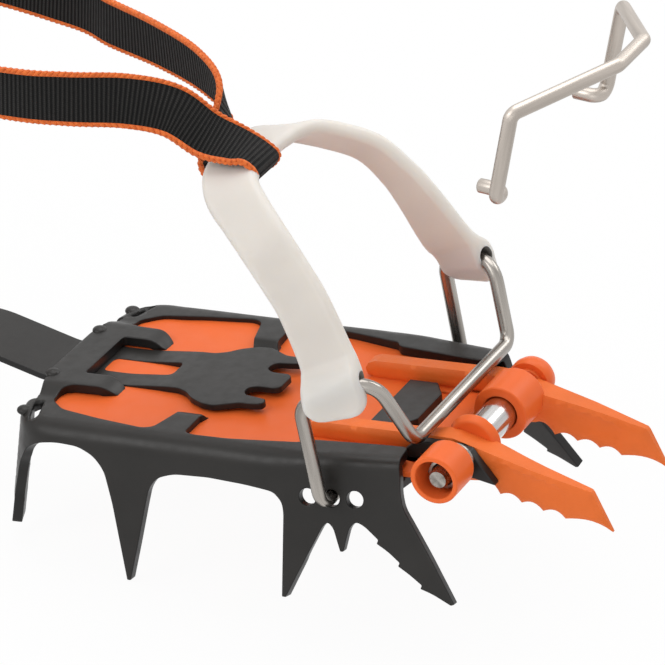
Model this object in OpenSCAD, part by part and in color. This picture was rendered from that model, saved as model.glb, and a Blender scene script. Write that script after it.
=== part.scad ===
// Mountaineering crampon with two screwed-on front points, a flexible toe bail, a linking bar
// and a lever heel. X runs to the toe, Y across, Z up, and the lowest points stand on Z = 0.
// The front section is drawn flat, with its top face at Z = 0, and then tilted toe-up.

/* [Front frame] */
// Thickness of the frame steel
sheet_t = 3; // [2:0.1:4]
// Height of the front frame's top face above the ground, below the toe bail's pivot
frame_h = 52.5; // [46:0.5:58]
// Toe-up tilt of the front frame
frame_pitch = 7; // [4:0.5:9]
// Half width of the frame over its side flanges
frame_half_w = 41.5; // [40:0.5:44]
// Place of the front end of the straight rails
rail_front_x = 4; // [2:0.5:6]
// Place of the rear edge of the frame
frame_rear_x = -84; // [-90:0.5:-82]
// Inward turn of the front panels
panel_yaw = 8.5; // [6:0.5:10]
// Outward lean of the side flanges
rail_splay = 4; // [0:0.5:8]
// Outward lean of the front panels
panel_splay = 14; // [10:0.5:16]
// Outer radius of the folds
fold_r = 6; // [4:0.5:8]
// Height that the rear bridge is raised over the bar
bridge_rise = 1.8; // [1.6:0.1:3]

/* [Teeth] */
// Place of the middle tooth along the frame
mid_tooth_x = -49; // [-54:0.5:-44]
// Length of the large front tooth below the frame
large_tooth_len = 42; // [36:0.5:44]
// Reach of the serrated second point in front of the straight rails
second_reach = 49.5; // [46:0.5:53]
// Drop of the serrated second point below the frame
second_drop = 40.8; // [38:0.5:43]
// Backward lean of the rear teeth
rear_tooth_lean = 18; // [12:1:22]
// Distance of the rear tooth's point from the middle plane
rear_tooth_y = 30; // [28:0.5:32]
// Turn of the rear teeth out of the cross direction
rear_tooth_turn = 30; // [15:1:40]

/* [Front points] */
// Distance of each front point's middle from the middle plane
point_y = 19.5; // [19:0.1:20]
// Thickness of a front point
point_t = 6; // [5:0.1:6.4]
// Height of the front point's bar above the frame's top face
point_rise = 1.5; // [1:0.1:2]
// Place of the front point's tip
point_tip_x = 95; // [88:0.5:105]
// Drop of the front point's tip below the frame
point_tip_drop = 23; // [20:0.5:26]
// Place of the bend in the front point's back
point_kink_x = 48; // [46:0.5:50]
// Place of the rear end of the front point's bar
point_rear_x = 3; // [0:0.5:8]

/* [Axle] */
// Place of the axle along the frame
axle_x = 51.6; // [50.5:0.1:53]
// Depth of the axle below the frame's top face
axle_drop = 2.8; // [2.4:0.1:3.4]
// Diameter of the axle bolt
bolt_d = 6; // [5:0.1:6.2]
// Outer diameter of the spacer sleeve
spacer_d = 10; // [9:0.1:10.6]
// Thickness of the frame's axle ears
ear_t = 3; // [2.5:0.1:3.5]
// Width across the flats of the axle nut
nut_af = 8.4; // [8:0.1:8.8]
// Height of the axle nut
nut_h = 4; // [3:0.1:5]
// Height of the bolt's head
head_h = 2.6; // [2:0.1:3.2]
// Thickness of the washers
washer_t = 1; // [0.8:0.1:1.4]

/* [Anti-snow plates] */
// Thickness of the plastic plates
plate_t = 2; // [1.5:0.1:2.5]
// Depth of the front plate's upper face below the frame's top face
plate_drop = 4.5; // [4.5:0.1:5.5]
// Outer diameter of the tubes round the axle
tube_d = 16.4; // [15:0.1:17]
// Bore of the outer tubes
tube_bore = 11; // [10.8:0.1:12]
// Distance of the outer tubes' ends from the middle plane
tube_end_y = 37; // [35.5:0.1:37.5]
// Outer diameter of the low hood round the bolt's head
head_hood_d = 13; // [12.6:0.1:14]
// Distance of the inner hoods' ends from the middle plane
hood_end_y = 7; // [4:0.5:10]

/* [Linking bar] */
// Width of the bar
bar_w = 23; // [21:0.5:24]
// Thickness of the bar
bar_t = 2; // [1.6:0.1:2.1]
// Width across the bar's head
bar_head_w = 34; // [31:0.5:35]
// Width of the slot in the bar
bar_slot_w = 8; // [5:0.5:10]
// Rear end of the bar
bar_rear_x = -236; // [-238:0.5:-232]
// Distance between the length holes
hole_pitch = 8; // [7.8:0.2:9]
// Length of each hole along the bar
length_hole_l = 6.4; // [6.2:0.1:6.8]

/* [Toe bail] */
// Diameter of the bail wire
wire_d = 4.1; // [3.6:0.1:4.3]
// Diameter of the bail holes in the frame
bail_hole_d = 5; // [4.8:0.1:5.4]
// Distance between neighbouring bail holes
bail_hole_pitch = 7; // [6.8:0.1:7.6]
// Place of the middle bail hole
bail_x = 18.5; // [18:0.1:19.5]
// Depth of the bail holes below the frame's top face
bail_drop = 11.4; // [11:0.1:12]
// Distance of the bail's legs from the middle plane, at the feet
bail_leg_y = 46.6; // [46.5:0.1:48]
// Width of the flexible band
band_w = 20; // [17:0.5:21]
// Thickness of the flexible band
band_t = 4.6; // [3.6:0.1:5]

/* [Heel] */
// Height of the heel frame's top face
heel_h = 48.6; // [48.2:0.1:50]
// Front edge of the heel frame
heel_front_x = -150; // [-156:0.5:-146]
// Length of the heel frame
heel_len = 82; // [80:0.5:88]
// Half width of the heel frame
heel_half_w = 34; // [33:0.5:36]
// Travel of the heel along the bar, in holes each way
travel_holes = 2; // [1:1:3]
// From the heel frame's rear edge forwards to the heel bail's pivot
heel_bail_in = 29; // [26:0.5:32]
// Depth of the heel bail's pivot below the heel frame's top face
heel_bail_drop = 10; // [9:0.5:12]
// Rearward reach of the heel bail from its pivot
heel_bail_reach = 42; // [40:0.5:48]
// Rise of the heel bail from its pivot
heel_bail_rise = 30; // [26:0.5:34]
// Height of the heel lever above its pivot
lever_len = 66; // [62:0.5:72]
// Thickness of the heel lever
lever_t = 9; // [8:0.5:10]
// Diameter of the adjusting wheel
wheel_d = 15; // [13:0.5:17]

/* [Ankle strap] */
// Width of the webbing
strap_w = 15; // [12:0.5:16]
// Thickness of the webbing
strap_t = 1.6; // [1.2:0.1:1.8]

/* [Hidden] */
$fn = 48;

// Clearances: between moving faces, and between pieces that rest side by side
move_gap = 0.4;
rest_gap = 0.2;
// Overlap that carries a cut past the face that it opens
cut = 1;
// Flat run of the sheet beside a fold
fold_flat = 1;

steel_black = [0.13, 0.13, 0.14];
plastic_orange = [0.95, 0.33, 0.10];
paint_orange = [0.95, 0.45, 0.12];
steel_bright = [0.75, 0.74, 0.72];
band_white = [0.92, 0.90, 0.86];
webbing_black = [0.08, 0.08, 0.09];

// The front point's tip and the lever's back are the ends of the crampon, and X = 0 is halfway
point_tip_world_x = point_tip_x * cos(frame_pitch) + point_tip_drop * sin(frame_pitch);
heel_rear_edge = heel_front_x - heel_len;
heel_bail_x = heel_rear_edge + heel_bail_in;
heel_pivot_x = heel_bail_x - heel_bail_reach;
strap_back = 8;
heel_rear_x = heel_pivot_x - max(wheel_d / 2, strap_back + strap_t / 2);
mid_x = (point_tip_world_x + heel_rear_x) / 2;

axle_z = -axle_drop;
plate_top = -plate_drop;
plate_low = plate_top - plate_t;
bar_top = -sheet_t + bar_t;
bridge_low = bar_top + rest_gap;
heel_low = heel_h - sheet_t;
// The bar runs just under the heel frame, on the floor of its guide
bar_head_room = 0.6;
bar_h = heel_low - bar_head_room - bar_t / 2;
guide_floor_t = 3;
guide_low = bar_h - bar_t / 2 - move_gap - guide_floor_t;
ear_y = point_y + point_t / 2;
washer_y = ear_y + ear_t;

module front_space() {
    translate([-mid_x, 0, frame_h]) rotate([0, -frame_pitch, 0]) children();
}

module ground_space() {
    translate([-mid_x, 0, 0]) children();
}

module both_sides() {
    children();
    mirror([0, 1, 0]) children();
}

// A plate from a plan outline, between two heights
module plate(outline, low, high) {
    translate([0, 0, low]) linear_extrude(high - low) polygon(outline);
}

// A round bar or bore along Y, between two distances from the middle plane
module along_y(x, z, from_y, to_y, d) {
    translate([x, from_y, z]) rotate([-90, 0, 0]) cylinder(h = to_y - from_y, d = d);
}

// A panel from a side outline, between two distances from the middle plane
module upright(outline, from_y, to_y) {
    translate([0, to_y, 0]) rotate([90, 0, 0]) linear_extrude(to_y - from_y) polygon(outline);
}

// Section of a quarter-round fold with a short flat at each end, round the middle of its arc
module fold_section() {
    inner_r = fold_r - sheet_t;
    intersection() {
        difference() {
            circle(fold_r);
            circle(inner_r);
        }
        square(fold_r);
    }
    translate([-fold_flat, inner_r]) square([fold_flat, sheet_t]);
    translate([inner_r, -fold_flat]) square([sheet_t, fold_flat]);
}

// A fold along X, with its outer corner on the X axis
module fold(from_x, to_x) {
    translate([from_x, -fold_r, -fold_r]) rotate([90, 0, 90]) linear_extrude(to_x - from_x) fold_section();
}

// Vectors and swept bars
function unit(v) = v / norm(v);
function tangent(p, i) = unit(p[min(i + 1, len(p) - 1)] - p[max(i - 1, 0)]);
function square_to(v, t) = unit(v - (v * t) * t);
function carried(p, n, i = 0) = i == len(p) ? [] :
    let (m = square_to(n, tangent(p, i))) concat([m], carried(p, m, i + 1));

// Points on a smooth curve through the given points
function curve_point(a, b, c, d, f) =
    (2 * b + (c - a) * f + (2 * a - 5 * b + 4 * c - d) * f * f
        + (3 * b - a - 3 * c + d) * f * f * f) / 2;
function curve(p, steps) = concat([for (i = [0:len(p) - 2], k = [0:steps - 1])
    curve_point(p[max(i - 1, 0)], p[i], p[i + 1], p[min(i + 2, len(p) - 1)], k / steps)],
    [p[len(p) - 1]]);

// Points on an arc of radius r that rounds the corner b between a and c
function bend(a, b, c, r, steps) =
    let (u = unit(a - b), v = unit(c - b), half = acos(u * v) / 2)
    let (back = r / tan(half), mid = b + unit(u + v) * r / sin(half))
    let (s = b + u * back - mid, e = b + v * back - mid, turn = 180 - 2 * half)
    [for (k = [0:steps])
        mid + (s * sin(turn * (1 - k / steps)) + e * sin(turn * k / steps)) / sin(turn)];

// Points along a bent wire with one bend radius
function wire_path(p, r, steps = 5) = concat([p[0]],
    [for (i = [1:len(p) - 2]) each bend(p[i - 1], p[i], p[i + 1], r, steps)], [p[len(p) - 1]]);

function mirrored(p) = [for (i = [len(p) - 1:-1:0]) [p[i][0], -p[i][1], p[i][2]]];

// A closed solid from rings of points, each ring as many points as the others
module skin(rings) {
    n = len(rings[0]);
    last = (len(rings) - 1) * n;
    polyhedron(
        points = [for (ring = rings) each ring],
        faces = concat(
            [for (i = [0:len(rings) - 2], j = [0:n - 1])
                [i * n + j, (i + 1) * n + j, (i + 1) * n + (j + 1) % n]],
            [for (i = [0:len(rings) - 2], j = [0:n - 1])
                [i * n + j, (i + 1) * n + (j + 1) % n, i * n + (j + 1) % n]],
            [for (j = [1:n - 2]) [0, j, j + 1]],
            [for (j = [1:n - 2]) [last, last + j + 1, last + j]]),
        convexity = 8);
}

// A round wire along a path
module wire(path, d, sides = 12) {
    seed = square_to([0.2, 0.3, 1], tangent(path, 0));
    across = carried(path, seed);
    skin([for (i = [0:len(path) - 1]) let (t = tangent(path, i), b = cross(t, across[i]))
        [for (j = [0:sides - 1])
            path[i] + d / 2 * (cos(360 * j / sides) * across[i] + sin(360 * j / sides) * b)]]);
}

// A flat bar along a path, with the direction of its width and its outline at each point
module ribbon(path, widths, outlines) {
    skin([for (i = [0:len(path) - 1])
        let (t = tangent(path, i), w = square_to(widths[i], t), n = cross(t, w))
        [for (q = outlines[i]) path[i] + q[0] * w + q[1] * n]]);
}

// Front frame: two folded rails with the teeth, a raised bridge behind and a cross member in front
panel_low = 11.5;
rail_low = 9.5;
valley_low = 6.5;
rear_tooth_w = 13;
window_rear_x = frame_rear_x + 7.5;
window_front_x = -41;
brace_step_y = 22;
bridge_seam_y = 20;
bar_head_low = -sheet_t / 2;
brace_low = bar_head_low - sheet_t;
cross_rear_x = 16;
cross_front_x = 40;
cross_high = plate_low;
pad_half_w = 14;
pad_rear_x = 18;
pad_front_x = 31;
pad_high = -1.5;

// Depth, square to the frame's top face, at which a tooth at x reaches the ground
function ground_drop(x) = (frame_h + x * sin(frame_pitch)) / cos(frame_pitch);

module rail_flange() {
    mid_len = ground_drop(mid_tooth_x) / cos(rail_splay);
    translate([0, frame_half_w, 0]) {
        fold(frame_rear_x + fold_r, rail_front_x);
        rotate([rail_splay, 0, 0]) upright([
            [frame_rear_x + fold_r + cut, -valley_low - 2], [frame_rear_x + 10, -valley_low - 3],
            [frame_rear_x + 15, -valley_low], [mid_tooth_x - 10, -valley_low - 1.5],
            [mid_tooth_x - 5, -valley_low - 4], [mid_tooth_x - 3, -rail_low - 1],
            [mid_tooth_x - 0.5, -mid_len], [mid_tooth_x + 0.5, -mid_len],
            [mid_tooth_x + 9, -rail_low - 11], [mid_tooth_x + 12, -rail_low - 3],
            [mid_tooth_x + 18, -rail_low], [rail_front_x, -rail_low - 1],
            [rail_front_x, -fold_r + 0.5], [frame_rear_x + fold_r + cut, -fold_r + 0.5]],
            -sheet_t, 0);
    }
}

// The corner where the fold turns inwards, and the space of the panel in front of it
corner_r = 2;

module corner_fold() {
    translate([rail_front_x, frame_half_w - fold_r - corner_r, -fold_r])
        rotate([0, 0, 90 - panel_yaw]) rotate_extrude(angle = panel_yaw)
            translate([corner_r, 0]) fold_section();
}

module panel_space() {
    translate([rail_front_x, frame_half_w - fold_r - corner_r, 0]) rotate([0, 0, -panel_yaw])
        translate([0, fold_r + corner_r, 0]) children();
}

// The panel with the large tooth, the bail holes and the serrated second point
module front_panel() {
    panel_len = 34.5;
    notch = panel_low + 7;
    step_x = (second_reach - 21) / 4.5;
    step_z = (second_drop - notch) / 3.6;
    serrations = [for (k = [1:3]) each [
        [20.7 + k * step_x, -notch - k * step_z], [21.8 + k * step_x, 1 - notch - k * step_z]]];
    corner_fold();
    panel_space() {
        fold(0, panel_len);
        rotate([panel_splay, 0, 0]) upright(concat(
            [[panel_len - 0.2, -fold_r + 0.5], [-6, -fold_r + 0.5], [-6, -panel_low + 1],
             [-3.9, -panel_low], [-1.2, -notch + 3], [-2.4, -large_tooth_len],
             [-1.6, -large_tooth_len], [12, -notch], [13.7, -notch - 2], [16.3, -notch - 9],
             [18.6, -notch - 2], [20.7, -notch + 0.5]],
            serrations,
            [[second_reach - 0.6, -second_drop], [second_reach, -second_drop + 0.5],
             [second_reach - 6.7, -second_drop + 13.5], [panel_len + 0.4, -panel_low - 2]]),
            -sheet_t, 0);
    }
}

// A rear tooth, hung from the cut-back rear corner and leaning backwards
module rear_tooth() {
    half = rear_tooth_w / 2;
    tip_len = ground_drop(frame_rear_x - 12) / cos(rear_tooth_lean);
    translate([frame_rear_x + 1, rear_tooth_y, -cut]) rotate([0, rear_tooth_lean, 0])
        rotate([0, 0, -rear_tooth_turn]) rotate([90, 0, 90]) linear_extrude(sheet_t) polygon([
            [-half, 0], [-half + 1, -8], [-2, -16], [-0.5, -tip_len + 2], [1.5, -tip_len + 2],
            [3.4, -tip_len + 12], [half - 0.5, -9], [half, 0]]);
}

// The flat top of one rail, with its brace under the bar's head
module rail_top() {
    edge = frame_half_w - fold_r - fold_flat / 2;
    turn_in = corner_r - fold_flat / 2;
    panel_edge = 33;
    front_x = rail_front_x + turn_in * sin(panel_yaw) + panel_edge * cos(panel_yaw);
    front_w = edge - turn_in * (1 - cos(panel_yaw)) - panel_edge * sin(panel_yaw);
    plate([
        [frame_rear_x - 2, bridge_seam_y], [frame_rear_x - 2, rear_tooth_y - 4.5], [frame_rear_x + 4, edge],
        [rail_front_x, edge], [front_x, front_w], [front_x, front_w - 0.6], [rail_front_x + 12, edge - 4],
        [-20, edge - 1.5], [window_front_x + 1, edge - 1.5],
        [window_rear_x + 3, edge - 5], [window_rear_x, edge - 8], [window_rear_x, bridge_seam_y]],
        -sheet_t, 0);
    plate([
        [window_front_x, edge], [window_front_x + 11, edge], [window_front_x + 18, brace_step_y],
        [window_front_x + 8, brace_step_y]], -sheet_t, 0);
    plate([
        [window_front_x + 7.5, brace_step_y + 1.5], [window_front_x + 17, brace_step_y + 1.5],
        [window_front_x + 24, 14], [window_front_x + 24, 9], [window_front_x + 13, 9],
        [window_front_x + 9, 14]], brace_low, bar_head_low);
}

module bridge_form() {
    hook_in = bar_w / 2 + rest_gap;
    bump_d = 4.5;
    plate([for (s = [1, -1]) each s > 0
        ? [[frame_rear_x - 2, 13], [frame_rear_x, 29], [window_rear_x, 27],
           [window_rear_x + 4, 19], [window_rear_x + 14, 19], [window_rear_x + 16, hook_in],
           [window_rear_x + 6, hook_in]]
        : [[window_rear_x + 6, -hook_in], [window_rear_x + 16, -hook_in],
           [window_rear_x + 14, -19], [window_rear_x + 4, -19], [window_rear_x, -27],
           [frame_rear_x, -29], [frame_rear_x - 2, -13]]], bridge_low, bridge_rise);
    both_sides() {
        plate([[window_rear_x + 8, hook_in], [window_rear_x + 16, hook_in],
            [window_rear_x + 14, hook_in + 3], [window_rear_x + 8, hook_in + 3]],
            -sheet_t - 0.5, bridge_rise);
        for (p = [[frame_rear_x - 1, 14.5], [frame_rear_x + 0.5, 26]])
            translate([p[0], p[1], bridge_low]) cylinder(h = bridge_rise - bridge_low + 0.8, d = bump_d);
    }
}

// The cross member under the front points, with its raised pad and the two axle ears
module cross_form() {
    low = cross_high - sheet_t;
    reach = frame_half_w - sheet_t / 2 - (cross_high - sheet_t / 2) * tan(panel_splay);
    both_sides() {
        plate([[cross_rear_x, 0], [cross_front_x, 0], [cross_front_x, ear_y + ear_t],
            [cross_front_x - 2, reach - (cross_front_x - rail_front_x) * tan(panel_yaw)],
            [cross_rear_x, reach - (cross_rear_x - rail_front_x) * tan(panel_yaw)]], low, cross_high);
        plate([[pad_rear_x, 0], [pad_front_x, 0], [pad_front_x, pad_half_w - 6],
            [pad_front_x - 4, pad_half_w], [pad_rear_x, pad_half_w]], low, pad_high);
        difference() {
            upright([[cross_front_x - 8, low], [cross_front_x - 8, cross_high + 2],
                [cross_front_x - 1, 1.2], [axle_x - 4, 1.2], [axle_x + 4, 0],
                [axle_x + 11, axle_z - 7.2], [axle_x + 3, axle_z - 5.5], [axle_x - 5, low]],
                ear_y, ear_y + ear_t);
            along_y(axle_x, axle_z, ear_y - cut, ear_y + ear_t + cut, bolt_d + move_gap);
        }
    }
}

// The hole for the bail's foot runs straight across, and the free holes beside it are square to the panel
module bail_holes() {
    depth = bail_drop / cos(panel_splay);
    out = fold_r + corner_r + depth * sin(panel_splay);
    along_y(bail_x, -bail_drop, foot_in_y - 2, bail_leg_y + 4, bail_hole_d);
    for (k = [-1, 1]) let (x = bail_x + k * bail_hole_pitch - rail_front_x)
        panel_space() rotate([panel_splay, 0, 0])
            along_y((x - out * sin(panel_yaw)) / cos(panel_yaw), -depth, -sheet_t - cut, cut, bail_hole_d);
}

// One side of the folded sheet, and the seams between its sections
rear_seam_x = window_rear_x + 0.5;
toe_seam_x = rail_front_x - 6.5;
brace_seam_y = frame_half_w - fold_r - fold_flat / 2 - 2;
brace_rear_x = window_front_x - 1;
brace_front_x = window_front_x + 25;

module folded_sheet() {
    difference() {
        union() {
            rail_top();
            rail_flange();
            front_panel();
            rear_tooth();
        }
        bridge_form();
        bail_holes();
    }
}

module sheet_between(from_x, to_x) {
    intersection() {
        folded_sheet();
        translate([from_x, 0, -90]) cube([to_x - from_x, 90, 120]);
    }
}

module brace_space() {
    translate([brace_rear_x, 0, -20]) cube([brace_front_x - brace_rear_x, brace_seam_y, 40]);
}

module rear_corner() {
    sheet_between(frame_rear_x - 60, rear_seam_x);
}

module front_rail() {
    difference() {
        sheet_between(rear_seam_x, toe_seam_x);
        brace_space();
    }
}

module front_brace() {
    intersection() {
        sheet_between(rear_seam_x, toe_seam_x);
        brace_space();
    }
}

module toe_panel() {
    sheet_between(toe_seam_x, rail_front_x + 120);
}

module rear_corner_left() {
    color(steel_black) front_space() rear_corner();
}

module rear_corner_right() {
    color(steel_black) front_space() mirror([0, 1, 0]) rear_corner();
}

module front_rail_left() {
    color(steel_black) front_space() front_rail();
}

module front_rail_right() {
    color(steel_black) front_space() mirror([0, 1, 0]) front_rail();
}

module front_brace_left() {
    color(steel_black) front_space() front_brace();
}

module front_brace_right() {
    color(steel_black) front_space() mirror([0, 1, 0]) front_brace();
}

module toe_panel_left() {
    color(steel_black) front_space() toe_panel();
}

module toe_panel_right() {
    color(steel_black) front_space() mirror([0, 1, 0]) toe_panel();
}

module rear_bridge() {
    color(steel_black) front_space() bridge_form();
}

module cross_member() {
    color(steel_black) front_space() difference() {
        cross_form();
        both_sides() {
            front_panel();
            bail_holes();
        }
    }
}

// Front anti-snow plate, with a long tube round the nut, two hoods round the spacer and a low hood
// round the bolt's head
module axle_hood(from_y, to_y, d, web_to_y) {
    front_x = cross_front_x + 6;
    along_y(axle_x, axle_z, from_y, to_y, d);
    upright([[front_x - 5, plate_low], [axle_x, plate_low - 1], [axle_x, axle_z + 2],
        [front_x - 5, plate_top]], from_y, web_to_y);
}

module front_antisnow_plate() {
    slot_in = point_y - point_t / 2 - rest_gap;
    slot_out = ear_y + ear_t + rest_gap;
    slot_x = cross_front_x - 9;
    front_x = cross_front_x + 6;
    head_hood_end = slot_out + washer_t + head_h;
    edge = frame_half_w - sheet_t - 1.5;
    color(plastic_orange) front_space() difference() {
        union() {
            both_sides() {
                plate([[frame_rear_x + 5, 0], [front_x, 0], [front_x, edge - 4.5],
                    [cross_rear_x, edge - 1], [window_front_x, edge], [frame_rear_x + 14, edge - 3],
                    [frame_rear_x + 5, edge - 11]], plate_low, plate_top);
                axle_hood(hood_end_y, slot_in - rest_gap, tube_d, slot_in - rest_gap);
            }
            axle_hood(slot_out + rest_gap, head_hood_end, head_hood_d, head_hood_end);
            mirror([0, 1, 0]) axle_hood(slot_out + rest_gap, tube_end_y, tube_d, tube_end_y - 3);
        }
        both_sides() {
            along_y(axle_x, axle_z, slot_out - cut, tube_end_y + cut, tube_bore);
            plate([[slot_x, slot_in], [front_x + cut, slot_in], [front_x + cut, slot_out],
                [slot_x, slot_out]], plate_low - cut, plate_top + cut);
            plate([[pad_rear_x - move_gap, -cut], [pad_front_x + move_gap, -cut],
                [pad_front_x + move_gap, pad_half_w + move_gap],
                [pad_rear_x - move_gap, pad_half_w + move_gap]], plate_low - cut, plate_top + cut);
        }
        along_y(axle_x, axle_z, -slot_in - cut, slot_in + cut, spacer_d + move_gap);
    }
}

// Front points
serration_count = 4;
serration_pitch = 6.4;
serration_slope = 16;
serration_depth = 2.3;
point_edge_t = 2.4;
point_taper_len = 22;

module front_point() {
    slope_x = point_tip_x - 13.8;
    slope_z = -point_tip_drop + 3;
    rise = serration_pitch * tan(serration_slope);
    teeth = [for (k = [0:serration_count - 1])
        let (x = slope_x - k * serration_pitch, z = slope_z + k * rise)
        each [[x + 2.2, z + serration_depth - 1], [x, z], [x - 2.6, z + serration_depth + 0.6]]];
    difference() {
        upright(concat(
            [[point_rear_x, point_rise - 1], [point_rear_x + 2, point_rise - 0.5],
             [point_kink_x, point_rise], [point_tip_x - 5.3, -point_tip_drop + 12],
             [point_tip_x, -point_tip_drop], [point_tip_x - 9, -point_tip_drop + 4.3]],
            teeth,
            [[axle_x + 6, axle_z - 8], [axle_x, axle_z - 8.6], [axle_x - 8, axle_z - 6],
             [axle_x - 13, plate_top], [point_rear_x + 3, plate_top], [point_rear_x - 1, plate_top + 2]]),
            point_y - point_t / 2, point_y + point_t / 2);
        along_y(axle_x, axle_z, point_y - point_t, point_y + point_t, bolt_d + move_gap);
        for (s = [1, -1])
            plate([[point_tip_x - point_taper_len, point_y + s * point_t / 2],
                [point_tip_x + cut, point_y + s * point_edge_t / 2],
                [point_tip_x + cut, point_y + s * point_t]], -point_tip_drop - cut, point_rise + cut);
    }
}

module front_point_left() {
    color(paint_orange) front_space() front_point();
}

module front_point_right() {
    color(paint_orange) front_space() mirror([0, 1, 0]) front_point();
}

// Axle
seat_y = washer_y + washer_t;

module axle_bolt() {
    color(steel_bright) front_space() {
        along_y(axle_x, axle_z, -seat_y - nut_h - 2.5, seat_y, bolt_d);
        difference() {
            along_y(axle_x, axle_z, seat_y, seat_y + head_h, nut_af + 1);
            translate([axle_x, seat_y + head_h / 2, axle_z]) rotate([-90, 0, 0])
                cylinder(h = head_h, d = nut_af - 3, $fn = 6);
        }
    }
}

module axle_nut() {
    color(steel_bright) front_space() difference() {
        translate([axle_x, -seat_y, axle_z]) rotate([90, 0, 0])
            cylinder(h = nut_h, d = nut_af / cos(30), $fn = 6);
        along_y(axle_x, axle_z, -seat_y - nut_h - cut, -seat_y + cut, bolt_d + rest_gap);
    }
}

module axle_spacer() {
    end_y = point_y - point_t / 2;
    color(steel_bright) front_space() difference() {
        along_y(axle_x, axle_z, -end_y, end_y, spacer_d);
        along_y(axle_x, axle_z, -end_y - cut, end_y + cut, bolt_d + rest_gap);
    }
}

module axle_washers() {
    color(steel_bright) front_space() both_sides() difference() {
        along_y(axle_x, axle_z, washer_y, washer_y + washer_t, tube_bore - 2 * rest_gap);
        along_y(axle_x, axle_z, washer_y - cut, washer_y + washer_t + cut, bolt_d + rest_gap);
    }
}

// Linking bar: a side outline that follows the frame and then the ground, cut to a plan outline
bar_bend_x = frame_rear_x - 3;
bar_flat_x = -113;
bar_head_front = -16;

// Ground place and height of a point of the tilted front section
function on_ground(x, z) = [x * cos(frame_pitch) - z * sin(frame_pitch),
    frame_h + x * sin(frame_pitch) + z * cos(frame_pitch)];

module linking_bar() {
    mid_low = bar_top - bar_t / 2;
    head = bar_head_low + bar_t / 2;
    line = [on_ground(bar_head_front, head), on_ground(-48, head), on_ground(-64, mid_low),
        on_ground(bar_bend_x, mid_low), [bar_flat_x, bar_h], [bar_rear_x, bar_h]];
    half = [for (s = [1, -1]) [for (p = line) [p[0], p[1] + s * bar_t / 2]]];
    head_w = bar_head_w / 2;
    color(steel_black) ground_space() difference() {
        intersection() {
            upright(concat(half[0], [for (i = [len(line) - 1:-1:0]) half[1][i]]),
                -head_w - cut, head_w + cut);
            both_sides() plate([[bar_rear_x, 0], [bar_head_front, 0], [bar_head_front, 9],
                [bar_head_front - 2, head_w - 1], [bar_head_front - 7, head_w - 1],
                [bar_head_front - 9, head_w - 4], [bar_head_front - 13, head_w - 4],
                [bar_head_front - 17, head_w], [bar_head_front - 27, head_w],
                [bar_head_front - 31, bar_w / 2], [bar_rear_x + 4, bar_w / 2],
                [bar_rear_x, bar_w / 2 - 4]], 0, frame_h + 20);
        }
        for (x = [-70, -52])
            translate([x, 0, 0]) cylinder(h = frame_h + 20, d = bar_slot_w);
        translate([-70, -bar_slot_w / 2, 0]) cube([18, bar_slot_w, frame_h + 20]);
        for (k = [-travel_holes - 1:travel_holes + 1])
            translate([latch_tooth_x + k * hole_pitch - length_hole_l / 2, -length_hole_w / 2, bar_h - bar_t])
                cube([length_hole_l, length_hole_w, 2 * bar_t]);
    }
}

// Toe bail: foot, leg, the run through the band's end, and the bar over the front points
bail_bend_r = 5;
tunnel_rear = [15.6, 47, 20];
tunnel_front = [33.6, 40.4, 27.5];
bail_low_corner = [42, 31.6, 4.8];
foot_in_y = 36;
bail_side = [[bail_x, foot_in_y, -bail_drop], [bail_x, bail_leg_y, -bail_drop], tunnel_rear,
    tunnel_front, bail_low_corner];
bail_path = wire_path(concat(bail_side, mirrored(bail_side)), bail_bend_r, 5);

module toe_bail_wire() {
    color(steel_bright) front_space() wire(bail_path, wire_d);
}

// Flexible band: half of its route from an end on the wire to the top, with its tilt and its share
// of the full width along the way
band_half = [[27.4, 45, 16.6], [25.4, 43.8, 23], [19.5, 38.6, 37], [13.5, 36, 47], [5, 33.4, 57.5],
    [-7.5, 26.5, 66], [-15.5, 14.5, 70.2]];
band_top = [-17.5, 0, 71.6];
band_tilt = [0, 0, -3, -4, -2, 14, 26];
band_share = [0.86, 0.88, 0.84, 0.85, 0.92, 1.03, 1.03];
band_top_tilt = 29;
band_steps = 4;

// A list and the same list backwards, with one entry between them
function there_and_back(p, mid) = concat(p, [mid], [for (i = [len(p) - 1:-1:0]) p[i]]);

band_route = curve(concat(band_half, [band_top], mirrored(band_half)), band_steps);
band_tilts = curve(there_and_back(band_tilt, band_top_tilt), band_steps);
band_shares = curve(there_and_back(band_share, 1), band_steps);
band_corner = 1.6;
tunnel_gap = 0.2;

// Outline of a flat bar with its corners cut back
function flat_outline(w, t, c) = [[w / 2 - c, -t / 2], [w / 2, -t / 2 + c], [w / 2, t / 2 - c],
    [w / 2 - c, t / 2], [-w / 2 + c, t / 2], [-w / 2, t / 2 - c], [-w / 2, -t / 2 + c],
    [-w / 2 + c, -t / 2]];

module toe_band() {
    widths = [for (a = band_tilts) [cos(a), 0, sin(a)]];
    along = unit(tunnel_front - tunnel_rear);
    color(band_white) front_space() difference() {
        union() {
            ribbon(band_route, widths,
                [for (f = band_shares) flat_outline(band_w * f, band_t, band_corner)]);
            both_sides() translate(tunnel_rear + along * 4)
                rotate([0, 0, atan2(along[1], along[0])]) rotate([0, acos(along[2]), 0])
                    cylinder(h = norm(tunnel_front - tunnel_rear) - 8, d = wire_d + band_t);
        }
        wire(bail_path, wire_d + 2 * tunnel_gap);
    }
}

// Heel frame
heel_tooth_x = [heel_front_x - 10, heel_rear_edge + 15];
heel_bail_z = heel_h - heel_bail_drop;
heel_foot_y = heel_half_w + 3;

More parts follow.
